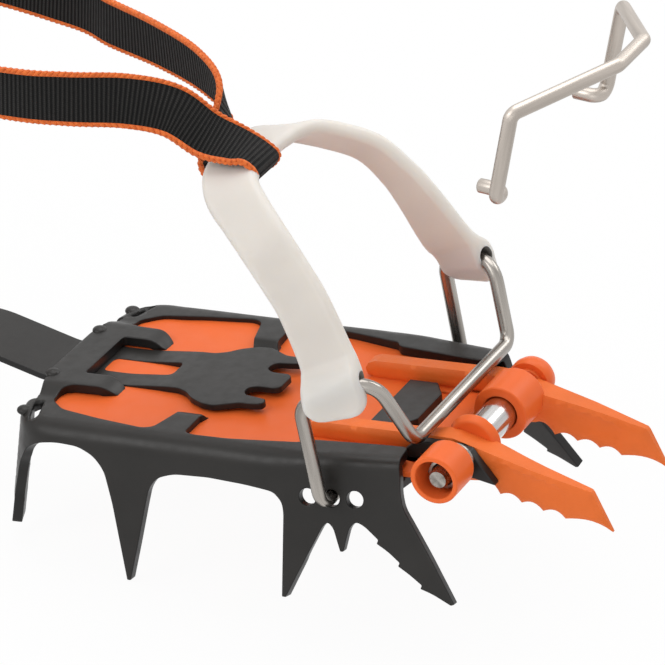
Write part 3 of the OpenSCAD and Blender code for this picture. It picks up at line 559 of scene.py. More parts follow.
def cut_through(obj: Obj, cutter: Obj) -> Obj:
    """Takes a cutter's shape out of an object, with the cutter's material inside the cut.

    Args:
        obj: Object to cut.
        cutter: Closed shape to take out, which is then removed.

    Returns:
        The same object, with plain mesh.
    """
    modified(obj, "BOOLEAN", operation="DIFFERENCE", object=cutter, solver="EXACT",
             material_mode="TRANSFER")
    mesh = cutter.data
    bpy.data.objects.remove(cutter)
    bpy.data.meshes.remove(mesh)
    return obj


def refined(node: str, name: str, materials: Sequence[Material], width: float,
            adjust: Callable[[Vector], Vector] | None = None) -> Obj:
    """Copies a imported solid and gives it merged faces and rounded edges.

    Args:
        node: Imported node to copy.
        name: Name of the new piece.
        materials: Material of the piece, and of its rounded edges where they have their own.
        width: Width of the rounding in millimetres.
        adjust: Gives each point's new place in the front section's own frame.

    Returns:
        The new object.
    """
    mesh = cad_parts[node].data.copy()
    mesh.name = name
    mesh.materials.clear()
    for m in materials:
        mesh.materials.append(m)
    bm = bmesh.new()
    bm.from_mesh(mesh)
    bmesh.ops.remove_doubles(bm, verts=bm.verts, dist=2e-6)
    bmesh.ops.dissolve_limit(bm, angle_limit=math.radians(0.6), verts=bm.verts, edges=bm.edges)
    for f in bm.faces:
        f.material_index = 0
    if adjust:
        for v in bm.verts:
            v.co = front(*adjust(in_front(v.co)))
    bm.to_mesh(mesh)
    bm.free()
    return bevelled(linked(name, mesh), width, edge_slot=1 if len(materials) > 1 else -1)


def place(obj: Obj, body: Body, slot: Slot, *nodes: str) -> None:
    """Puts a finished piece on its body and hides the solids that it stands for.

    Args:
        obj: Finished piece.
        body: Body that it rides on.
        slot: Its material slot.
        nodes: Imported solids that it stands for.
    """
    # Bright pieces carry coordinates for their painted reflection streaks.
    if slot is Slot.BRIGHT:
        drawn(obj)
    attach(obj, body.value)
    label(obj, slot, *nodes)


def label(obj: Obj, slot: Slot, *nodes: str) -> None:
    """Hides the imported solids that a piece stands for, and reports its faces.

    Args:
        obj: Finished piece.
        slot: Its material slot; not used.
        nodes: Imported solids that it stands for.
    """
    if nodes:
        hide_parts(*nodes)
    LOG.info("%s: %d faces", obj.name, len(obj.data.polygons))


def wire_shape(path: Sequence[Vector], diameter: float = WIRE_D, sides: int = 28) -> Shape:
    """Makes a round wire with softened ends.

    Args:
        path: Points along the wire, in metres.
        diameter: Diameter in millimetres.
        sides: Points round the wire.

    Returns:
        The wire's shape.
    """
    r, soft, last = diameter / 2 * MM, 0.7 * MM, len(path) - 1
    side = Vector((0.2, 0.3, 1.0))
    frames = []
    for i in range(len(path)):
        way = heading(path, i)
        side = square_to(side, way)
        frames.append((way, side, way.cross(side)))

    def ring(i: int, share: float = 1.0, inward: float = 0.0) -> list[Vector]:
        """Gives one ring round the wire, at a share of the softened length from its end.

        Args:
            i: Number of the path's point.
            share: Share of the softened length.
            inward: 1 at the start of the wire, or -1 at its end.

        Returns:
            The ring's points.
        """
        way, u, v = frames[i]
        mid = path[i] + way * (soft * share * inward)
        return [mid + u * a + v * b for a, b in circle(0, 0, r - soft * (1 - share) ** 2, sides)]

    shares = (0.0, 0.35, 0.75)
    shape = Shape(sides=sides)
    shape.rings([ring(0, f, 1) for f in shares] + [ring(i) for i in range(1, last)]
                + [ring(last, f, -1) for f in reversed(shares)])
    return shape


def drawn(obj: Obj, stretch: float = 0.06) -> None:
    """Gives each point of a bright piece its place along and round it, for its painted reflection
    streaks.

    Args:
        obj: Ringed piece, with the number of "sides" kept on its mesh, or any other piece.
        stretch: Share of the length along the piece that the streaks see.
    """
    mesh = obj.data
    spots = np.empty(len(mesh.vertices) * 3, np.float64)
    mesh.vertices.foreach_get("co", spots)
    spots = spots.reshape(-1, 3)
    sides = int(mesh.get("sides", 0))
    if sides and len(spots) % sides == 0:
        rings = spots.reshape(-1, sides, 3)
        mids = rings.mean(axis=1)
        walked = np.cumsum(np.linalg.norm(np.diff(mids, axis=0), axis=1))
        along = np.repeat(np.concatenate(([0.0], walked)) * stretch, sides)
        reach = np.linalg.norm(rings - mids[:, None, :], axis=2)
        turn = np.arange(sides) * TURN / sides
        wound = ((reach * np.cos(turn)).ravel(), (reach * np.sin(turn)).ravel())
        own = np.stack((along, *wound), axis=1)
    else:
        own = spots * np.array((stretch * 4, 1.0, 1.0))
    layer = mesh.attributes.new("drawn", "FLOAT_VECTOR", "POINT")
    layer.data.foreach_set("vector", own.astype(np.float32).ravel())


def hexagon(radius: float) -> Callable[[float], float]:
    """Gives the reach of a hexagon with flats at this distance, by angle."""
    return lambda a: radius / math.cos((a % (math.pi / 3)) - math.pi / 6)


def turned(steps: Sequence[tuple[float, Reach]], loop: bool = False, sides: int = 48) -> Shape:
    """Makes a turned part from rings along the axle.

    Args:
        steps: Place along the axle and radius, or reach by angle, of each ring.
        loop: Whether the last ring joins the first, as on a sleeve.
        sides: Points round each ring.

    Returns:
        The part's shape.
    """
    rings = []
    for along, r in steps:
        turns = (TURN * k / sides for k in range(sides))
        reaches = ((r(a) if callable(r) else r, a) for a in turns)
        rings.append([round_axle(q * math.cos(a), along, q * math.sin(a)) for q, a in reaches])
    shape = Shape(sides=sides)
    shape.rings(rings, loop)
    return shape


# ---------------------------------------------------------------------- shader groups


def feed(tree: Tree, socket: Socket, value: object) -> None:
    """Links a socket to another, or sets it to a plain value.

    Args:
        tree: Tree that holds the socket.
        socket: Input to feed.
        value: Another socket, or a plain value.
    """
    if isinstance(value, bpy.types.NodeSocket):
        tree.links.new(value, socket)
    else:
        socket.default_value = value


def math_node(tree: Tree, operation: str, a: object, b: object = 0.0,
              clamp: bool = False) -> Socket:
    """Adds a Math node with sockets or numbers as its inputs, and gives its output.

    Args:
        tree: Tree to add to.
        operation: Operation of the node.
        a: First input.
        b: Second input.
        clamp: Whether the result is held between 0 and 1.

    Returns:
        The node's output.
    """
    node = tree.nodes.new("ShaderNodeMath")
    node.operation = operation
    node.use_clamp = clamp
    for socket, value in zip(node.inputs, (a, b)):
        feed(tree, socket, value)
    return node.outputs[0]


class EffectGroup:
    """A shader node group in the making: a vector and numbers go in, and numbers come out."""

    def __init__(self, name: str, inputs: dict[str, float], outputs: Sequence[str]) -> None:
        """Starts a group.

        Args:
            name: Name of the group.
            inputs: Name and value of each input besides the vector.
            outputs: Name of each output.
        """
        self.tree = bpy.data.node_groups.new(name, "ShaderNodeTree")
        face = self.tree.interface
        face.new_socket(name="Vector", in_out="INPUT", socket_type="NodeSocketVector")
        for title, value in inputs.items():
            socket = face.new_socket(name=title, in_out="INPUT", socket_type="NodeSocketFloat")
            socket.default_value = value
        for title in outputs:
            face.new_socket(name=title, in_out="OUTPUT", socket_type="NodeSocketFloat")
        self.given = self.tree.nodes.new("NodeGroupInput").outputs
        self.out = self.tree.nodes.new("NodeGroupOutput").inputs

    def math(self, operation: str, a: object, b: object, clamp: bool = False) -> Socket:
        """Adds a Math node."""
        return math_node(self.tree, operation, a, b, clamp)

    def noise(self, scale: str, detail: float, rough: float = 0.55) -> Socket:
        """Adds a noise texture whose scale is one of the inputs, and gives its value.

        Args:
            scale: Name of the input that gives the scale.
            detail: Detail of the noise.
            rough: Roughness of the noise.

        Returns:
            The noise's value.
        """
        node = self.tree.nodes.new("ShaderNodeTexNoise")
        for title, value in (("Detail", detail), ("Roughness", rough),
                             ("Vector", self.given["Vector"]), ("Scale", self.given[scale])):
            feed(self.tree, node.inputs[title], value)
        return node.outputs["Fac"]

    def stretched(self, value: Socket, low: float, gain: float) -> Socket:
        """Stretches a value from a low end, held between 0 and 1."""
        return self.math("MULTIPLY", self.math("SUBTRACT", value, low), gain, True)

    def close(self, **outputs: Socket) -> Tree:
        """Feeds the outputs and gives the finished group.

        Args:
            outputs: Socket that feeds each output.

        Returns:
            The finished group.
        """
        for title, value in outputs.items():
            self.tree.links.new(value, self.out[title])
        return self.tree


class Effects:
    """Shader groups that several finishes share."""

    def __init__(self) -> None:
        """Builds each group once."""
        self.wear_and_highlight = self.edge_wear_and_highlight()
        self.grain = self.fine_grain()
        self.mottle = self.soft_mottle()

    @staticmethod
    def edge_wear_and_highlight() -> Tree:
        """Builds the group that marks edges, broken up by noise: rubbed wear and a painted
        highlight.

        Returns:
            The finished group.
        """
        g = EffectGroup("edge_wear_and_highlight", {"Radius": 0.0006, "Scale": 300, "Amount": 1}, ["Mask"])
        bevel = g.tree.nodes.new("ShaderNodeBevel")
        bevel.samples = 6
        true = g.tree.nodes.new("ShaderNodeNewGeometry")
        dot = g.tree.nodes.new("ShaderNodeVectorMath")
        dot.operation = "DOT_PRODUCT"
        for source, socket in ((g.given["Radius"], bevel.inputs["Radius"]),
                               (bevel.outputs[0], dot.inputs[0]),
                               (true.outputs["Normal"], dot.inputs[1])):
            g.tree.links.new(source, socket)
        bent = g.math("MULTIPLY", g.math("SUBTRACT", 1.0, dot.outputs["Value"]), 5.0, True)
        rub_and_highlight = g.stretched(g.noise("Scale", 4), 0.35, 2.4)
        mask = g.math("MULTIPLY", bent, rub_and_highlight)
        return g.close(Mask=g.math("MULTIPLY", mask, g.given["Amount"], True))

    @staticmethod
    def fine_grain() -> Tree:
        """Builds the group that gives a fine surface texture at two scales.

        Returns:
            The finished group.
        """
        g = EffectGroup("fine_grain", {"Scale": 1500, "Coarse": 250}, ["Height", "Tone"])
        fine, coarse = g.noise("Scale", 3, 0.6), g.noise("Coarse", 2)
        return g.close(Height=g.math("ADD", fine, g.math("MULTIPLY", coarse, 0.12)), Tone=coarse)

    @staticmethod
    def soft_mottle() -> Tree:
        """Builds the group that varies a colour gently over a piece.

        Returns:
            The finished group.
        """
        g = EffectGroup("soft_mottle", {"Scale": 40, "Dark": 0.85, "Light": 1.1}, ["Factor"])
        span = g.math("SUBTRACT", g.given["Light"], g.given["Dark"])
        share = g.stretched(g.noise("Scale", 3), 0.3, 2.5)
        return g.close(Factor=g.math("ADD", g.given["Dark"], g.math("MULTIPLY", share, span)))


class Paint:
    """A material in the making: one Principled shader and what feeds it."""

    def __init__(self, name: str, coordinate: str = "Object") -> None:
        """Starts a material on object coordinates or on the piece's own UV map.

        Args:
            name: Name of the material.
            coordinate: Coordinates that its marks follow.
        """
        self.material = bpy.data.materials.new(name)
        self.material.use_nodes = True
        self.tree = self.material.node_tree
        self.shader = self.tree.nodes["Principled BSDF"]
        self.vector = self.tree.nodes.new("ShaderNodeTexCoord").outputs[coordinate]

    def node(self, kind: str, **inputs: object) -> bpy.types.Node:
        """Adds a node, with _ for a space in the names of its inputs.

        Args:
            kind: Kind of node.
            inputs: Socket or value of each named input.

        Returns:
            The new node.
        """
        node = self.tree.nodes.new(kind)
        for title, value in inputs.items():
            feed(self.tree, node.inputs[title.replace("_", " ")], value)
        return node

    def group(self, tree: Tree, **values: float) -> bpy.types.NodeOutputs:
        """Places a shared group with its own values, and gives its outputs.

        Args:
            tree: Shared group.
            values: Value of each named input.

        Returns:
            The group's outputs.
        """
        node = self.tree.nodes.new("ShaderNodeGroup")
        node.node_tree = tree
        for title, value in {"Vector": self.vector, **values}.items():
            feed(self.tree, node.inputs[title], value)
        return node.outputs

    def math(self, operation: str, a: object, b: object = 0.0, clamp: bool = False) -> Socket:
        """Adds a Math node."""
        return math_node(self.tree, operation, a, b, clamp)

    def shade(self, **values: object) -> None:
        """Feeds or sets the shader's own sockets, with _ for a space."""
        for title, value in values.items():
            feed(self.tree, self.shader.inputs[title.replace("_", " ")], value)

    def colour(self, base: Point3, factor: Socket) -> Socket:
        """Gives a colour times a varying factor.

        Args:
            base: Plain colour.
            factor: Factor that varies over the piece.

        Returns:
            The varied colour.
        """
        node = self.tree.nodes.new("ShaderNodeVectorMath")
        node.operation = "SCALE"
        feed(self.tree, node.inputs[0], base)
        feed(self.tree, node.inputs["Scale"], factor)
        return node.outputs["Vector"]

    def mix(self, factor: Socket, a: Socket | Point3, b: Socket | Point3) -> Socket:
        """Mixes two colours by a factor.

        Args:
            factor: Share of the second colour.
            a: First colour.
            b: Second colour.

        Returns:
            The mixed colour.
        """
        node = self.tree.nodes.new("ShaderNodeMix")
        node.data_type = "RGBA"
        self.tree.links.new(factor, node.inputs[0])
        for socket, value in zip(node.inputs[6:8], (a, b)):
            feed(self.tree, socket, (*value, 1.0) if isinstance(value, tuple) else value)
        return node.outputs[2]

    def spread(self, source: Socket, low: float, high: float) -> Socket:
        """Spreads a value from about 0.3 to 0.7 over a range."""
        return self.node("ShaderNodeMapRange", From_Min=0.3, From_Max=0.7, To_Min=low, To_Max=high,
                         Value=source).outputs["Result"]

    def bump(self, height: Socket, depth: float, strength: float) -> None:
        """Feeds the shader's normal from a height, with a depth in millimetres."""
        node = self.node("ShaderNodeBump", Strength=strength, Distance=depth * MM, Height=height)
        self.shade(Normal=node.outputs["Normal"])


# ---------------------------------------------------------------------- finishes


@dataclass(frozen=True)
class Coat:
    """Opaque coating or moulded plastic: mottled, fine-grained and paler along its edges.

    The mottle is (scale, dark, light), the grain (scale, coarse scale), the edge wear and painted
    edge highlight (radius, scale, amount) and the bump (depth, strength), with radius and depth in
    millimetres.
    """

    name: str
    colour: Point3
    edge: Point3
    roughness: Point2
    specular: float
    mottle: Point3
    grain: Point2
    wear_and_highlight: Point3
    bump: Point2
    subsurface: float = 0.0

    def material(self, effects: Effects) -> Material:
        """Builds the finish's material.

        Args:
            effects: Shader groups that the finishes share.

        Returns:
            The new material.
        """
        p = Paint(self.name)
        (scale, dark, light), (fine, coarse) = self.mottle, self.grain
        radius, patch, amount = self.wear_and_highlight
        mottle = p.group(effects.mottle, Scale=scale, Dark=dark, Light=light)
        grain = p.group(effects.grain, Scale=fine, Coarse=coarse)
        rub_and_highlight = p.group(effects.wear_and_highlight, Radius=radius * MM, Scale=patch, Amount=amount)
        base = p.colour(self.colour, mottle["Factor"])
        # Edges take the paler edge colour: partly rubbed wear, partly painted highlight.
        p.shade(Base_Color=p.mix(rub_and_highlight["Mask"], base, self.edge),
                Roughness=p.spread(grain["Tone"], *self.roughness),
                Specular_IOR_Level=self.specular)
        if self.subsurface > 0:
            p.shade(Subsurface_Weight=self.subsurface, Subsurface_Radius=(1.0, 0.9, 0.75),
                    Subsurface_Scale=0.006)
        p.bump(grain["Height"], *self.bump)
        return p.material


@dataclass(frozen=True)
class Bright:
    """Bare stainless steel with painted reflection streaks that follow the piece's own coordinates.
    """

    name: str
    colour: Point3
    dark: Point3
    roughness: Point2
    streaks: float

    def material(self, effects: Effects) -> Material:
        """Builds the finish's material.

        Args:
            effects: Shader groups that the finishes share.

        Returns:
            The new material.
        """
        p = Paint(self.name)
        own = p.tree.nodes.new("ShaderNodeAttribute")
        own.attribute_name = "drawn"
        p.vector = own.outputs["Vector"]
        coarse = p.group(effects.mottle, Scale=380.0, Dark=0.0, Light=1.0)
        fine = p.group(effects.grain, Scale=2300.0, Coarse=900.0)
        # Painted reflections: streaks of the dark colour along and round each piece, with a little
        # fine grain.
        reflection_streaks = p.math("ADD", p.math("MULTIPLY", coarse["Factor"], self.streaks),
                      p.math("MULTIPLY", fine["Tone"], 0.12), True)
        p.shade(Base_Color=p.mix(reflection_streaks, self.colour, self.dark),
                Roughness=p.spread(fine["Tone"], *self.roughness), Metallic=1.0)
        p.bump(fine["Height"], 0.012, 0.35)
        return p.material


@dataclass(frozen=True)
class Webbing:
    """Ribbed black webbing, on the strap's own UV map in metres, with painted light and shade on
    its ribs.
    """

    name: str = "ribbed_webbing"
    rib: float = 1.3
    yarn: float = 0.62
    colour: Point3 = (0.0035, 0.0034, 0.0036)
    lit_rib_colour: Point3 = (0.038, 0.036, 0.034)

    def material(self, effects: Effects) -> Material:
        """Builds the finish's material.

        Args:
            effects: Shader groups that the finishes share.

        Returns:
            The new material.
        """
        p = Paint(self.name, "UV")
        split = p.node("ShaderNodeSeparateXYZ", Vector=p.vector).outputs

        def wave(phase: Socket) -> Socket:
            """Gives a wave between 0 and 1."""
            return p.math("ADD", p.math("MULTIPLY", p.math("SINE", phase), 0.5), 0.5)

        along = p.math("MULTIPLY", split["X"], TURN / (self.rib * MM))
        across = p.math("MULTIPLY", split["Y"], TURN / (self.yarn * MM))
        ribs = wave(along)
        yarn = wave(p.math("ADD", across, p.math("MULTIPLY", along, 0.5)))
        fuzz = p.group(effects.grain, Scale=2600.0, Coarse=700.0)
        height = p.math("ADD", ribs, p.math("MULTIPLY", yarn, p.math("MULTIPLY", ribs, 0.5)))
        height = p.math("ADD", height, p.math("MULTIPLY", fuzz["Height"], 0.15))
        # Painted light and shade: rib and yarn tops take the lighter colour, the hollows between
        # them the darker.
        rib_light_and_shade = p.math("MULTIPLY", p.math("ADD", p.math("MULTIPLY", yarn, 0.4), 0.6),
                      p.math("POWER", ribs, 1.3), True)
        p.shade(Base_Color=p.mix(rib_light_and_shade, self.colour, self.lit_rib_colour),
                Roughness=p.spread(fuzz["Tone"], 0.62, 0.8), Sheen_Weight=0.05,
                Sheen_Roughness=0.5, Specular_IOR_Level=0.12)
        p.bump(height, 0.45, 0.9)
        return p.material


@dataclass(frozen=True)
class Thread:
    """Orange edge yarn with a twist."""

    name: str = "orange_edge_yarn"
    colour: Point3 = (0.84, 0.185, 0.030)
    shade: Point3 = (0.46, 0.075, 0.012)

    def material(self, effects: Effects) -> Material:
        """Builds the finish's material.

        Args:
            effects: Shader groups that the finishes share.

        Returns:
            The new material.
        """
        p = Paint(self.name)
        grain = p.group(effects.grain, Scale=2400.0, Coarse=900.0)
        p.shade(Base_Color=p.mix(p.spread(grain["Tone"], 0.0, 0.7), self.colour, self.shade),
                Roughness=p.spread(grain["Tone"], 0.6, 0.75), Sheen_Weight=0.1,
                Sheen_Roughness=0.5, Specular_IOR_Level=0.3)
        p.bump(grain["Height"], 0.12, 0.6)
        return p.material


STEEL = Coat("satin_coated_steel", (0.0175, 0.016, 0.0145), (0.095, 0.088, 0.081), (0.33, 0.45),
             0.3, (55.0, 0.86, 1.18), (1700.0, 300.0), (0.7, 220.0, 0.5), (0.02, 0.5))
# Darker copy of the coated steel for the sheet's cut rims and rounded edges: painted shade.
SHADED_CUT_EDGE = replace(STEEL, name="cut_steel_edge_painted_shade", colour=(0.010, 0.0095, 0.009),
                   edge=(0.06, 0.058, 0.055), roughness=(0.30, 0.42), wear_and_highlight=(0.7, 220.0, 0.35))
POWDER = Coat("powder_coat", (0.81, 0.165, 0.028), (0.84, 0.26, 0.07), (0.40, 0.52), 0.24,
              (70.0, 0.93, 1.06), (1150.0, 420.0), (0.6, 260.0, 0.25), (0.16, 0.6))
ORANGE = Coat("orange_plastic", (0.84, 0.145, 0.028), (0.90, 0.19, 0.05), (0.34, 0.46), 0.22,
              (30.0, 0.95, 1.04), (2100.0, 160.0), (0.7, 180.0, 0.3), (0.03, 0.4), 0.08)
MILKY = replace(ORANGE, name="milky_plastic", colour=(0.705, 0.67, 0.625), edge=(0.76, 0.73, 0.69),
                roughness=(0.42, 0.52), specular=0.3, bump=(0.04, 0.4), subsurface=0.7)
# Darker milky plastic inside the wire's bores through the band: painted shade.
MILKY_BORE_SHADE = replace(ORANGE, name="milky_bore_painted_shade", colour=(0.30, 0.285, 0.26), edge=(0.4, 0.38, 0.35),
                     roughness=(0.5, 0.6), specular=0.3, subsurface=0.0)
BLACK = replace(ORANGE, name="black_plastic", colour=(0.010, 0.010, 0.0105),
                edge=(0.035, 0.034, 0.034), roughness=(0.36, 0.5), specular=0.26, subsurface=0.0)
# Bright finishes: the base and dark colours of their painted reflection streaks.
STREAKED_STAINLESS = Bright("drawn_stainless", (0.50, 0.465, 0.425), (0.115, 0.105, 0.095), (0.20, 0.34), 0.75)
SLEEVE = Bright("polished_sleeve", (0.74, 0.73, 0.72), (0.26, 0.25, 0.25), (0.13, 0.22), 0.6)
MATT = Bright("matt_stainless", (0.60, 0.54, 0.485), (0.35, 0.315, 0.28), (0.36, 0.48), 0.7)


class Finishes:
    """Every finish of the crampon, built once."""

    def __init__(self) -> None:
        """Builds the shared effects and then the materials."""
        effects = Effects()
        self.steel = [STEEL.material(effects), SHADED_CUT_EDGE.material(effects)]
        self.paint, self.orange = ([f.material(effects)] for f in (POWDER, ORANGE))
        self.milky = [MILKY.material(effects), MILKY_BORE_SHADE.material(effects)]
        self.black = [BLACK.material(effects)]
        self.bright, self.sleeve, self.matt = ([f.material(effects)] for f in (STREAKED_STAINLESS, SLEEVE, MATT))
        self.webbing = [Webbing().material(effects), Thread().material(effects)]

    def of(self, slot: Slot) -> list[Material]:
        """Gives the materials of a slot's plain pieces."""
        return {Slot.STEEL: self.steel, Slot.ORANGE: self.orange, Slot.BRIGHT: self.bright,
                Slot.BLACK: self.black}[slot]


# ---------------------------------------------------------------------- repeated details


class RepeatTree:
    """A Geometry Nodes tree with named inputs, applied once to a carrier mesh."""

    def __init__(self, name: str, inputs: Sequence[str]) -> None:
        """Starts a tree.

        Args:
            name: Name of the tree.
            inputs: Name of each number that it takes, besides the geometry and the material.
        """
        self.tree = bpy.data.node_groups.new(name, "GeometryNodeTree")
        face = self.tree.interface
        kinds = {"Geometry": "NodeSocketGeometry", "Material": "NodeSocketMaterial"}
        for title in ("Geometry", *inputs, "Material"):
            face.new_socket(name=title, in_out="INPUT",
                            socket_type=kinds.get(title, "NodeSocketFloat"))
        face.new_socket(name="Geometry", in_out="OUTPUT", socket_type=kinds["Geometry"])
        self.given = self.tree.nodes.new("NodeGroupInput").outputs
        self.out = self.tree.nodes.new("NodeGroupOutput").inputs

    def node(self, kind: str, links: dict[str | int, Socket] | None = None,
             **values: object) -> bpy.types.NodeOutputs:
        """Adds a node, with linked sockets and plain values, and gives its outputs.

        Args:
            kind: Kind of node.
            links: Socket that feeds each input, by name or number.
            values: Value of each other input or setting.

        Returns:
            The node's outputs.
        """
        node = self.tree.nodes.new(kind)
        for title, value in values.items():
            if title in node.inputs:
                node.inputs[title].default_value = value
            else:
                setattr(node, title, value)
        for title, source in (links or {}).items():
            self.tree.links.new(source, node.inputs[title])
        return node.outputs

    def close(self, points: Socket, ball: Socket, **links: Socket) -> None:
        """Ends the tree: balls on the points as real mesh, smooth, with the given material.

        Args:
            points: Points that carry a ball.
            ball: Mesh of one ball.
            links: Other inputs of the instances.
        """
        on = self.node("GeometryNodeInstanceOnPoints",
                       {"Points": points, "Instance": ball, **links})
        real = self.node("GeometryNodeRealizeInstances", {"Geometry": on["Instances"]})
        smooth = self.node("GeometryNodeSetShadeSmooth", {"Geometry": real[0]})
        painted = self.node("GeometryNodeSetMaterial", {"Geometry": smooth[0],
                                                        "Material": self.given["Material"]})
        self.tree.links.new(painted[0], self.out["Geometry"])

    def apply(self, obj: Obj, material: Material, **sizes: float) -> Obj:
        """Runs the tree on a carrier and leaves plain mesh.

        Args:
            obj: Carrier with the points or edges that the tree follows.
            material: Material of the repeated detail.
            sizes: Value of each named input.

        Returns:
            The same object, with its new mesh.
        """
        mod = obj.modifiers.new("repeat", "NODES")
        mod.node_group = self.tree
        values = {"Material": material, **sizes}
        for item in self.tree.interface.items_tree:
            if item.item_type == "SOCKET" and item.in_out == "INPUT" and item.name in values:
                mod[item.identifier] = values[item.name]
        obj.update_tag()
        return settle(obj)


class StudTree(RepeatTree):
    """Domed studs on the points of a mesh."""

    def __init__(self) -> None:
        """Builds the tree."""
        super().__init__("domed_studs", ["Radius", "Height"])
        g = self.given
        ball = self.node("GeometryNodeMeshUVSphere", {"Radius": g["Radius"]}, Segments=20, Rings=10)
        ratio = self.node("ShaderNodeMath", {0: g["Height"], 1: g["Radius"]}, operation="DIVIDE")
        size = self.node("ShaderNodeCombineXYZ", {"Z": ratio[0]}, X=1.0, Y=1.0)
        self.close(g["Geometry"], ball["Mesh"], Scale=size[0])


class StitchTree(RepeatTree):
    """Slanted yarn stitches that follow the edges of a mesh."""

    def __init__(self) -> None:
        """Builds the tree."""
        super().__init__("edge_stitches", ["Pitch", "Length", "Width", "Height", "Slant"])
        g = self.given
        line = self.node("GeometryNodeMeshToCurve", {"Mesh": g["Geometry"]})
        spaced = self.node("GeometryNodeResampleCurve", {"Curve": line[0], "Length": g["Pitch"]},
                           mode="LENGTH")
        tangent = self.node("GeometryNodeInputTangent")
        across = self.node("GeometryNodeInputNamedAttribute", data_type="FLOAT_VECTOR",
                           Name="across")
        turn = self.node("FunctionNodeAxesToRotation",
                         {"Primary Axis": tangent[0], "Secondary Axis": across[0]},
                         primary_axis="X", secondary_axis="Y")
        slant = self.node("ShaderNodeCombineXYZ", {"Z": g["Slant"]})
        lean = self.node("FunctionNodeRotateRotation", {"Rotation": turn[0], "Rotate By": slant[0]},
                         rotation_space="LOCAL")
        ball = self.node("GeometryNodeMeshUVSphere", Segments=8, Rings=5, Radius=0.5)
        size = self.node("ShaderNodeCombineXYZ",
                         {"X": g["Length"], "Y": g["Width"], "Z": g["Height"]})
        self.close(spaced[0], ball["Mesh"], Rotation=lean[0], Scale=size[0])


def carrier(name: str, verts: Sequence[Vector], edges: Sequence[tuple[int, int]] = ()) -> Obj:
    """Makes a mesh of bare points and edges for a tree to follow.

    Args:
        name: Name of the object.
        verts: Points in metres.
        edges: Edges between them.

    Returns:
        The new object.
    """
    mesh = bpy.data.meshes.new(name)
    mesh.from_pydata(list(verts), list(edges), [])
    return linked(name, mesh)


# ---------------------------------------------------------------------- front section


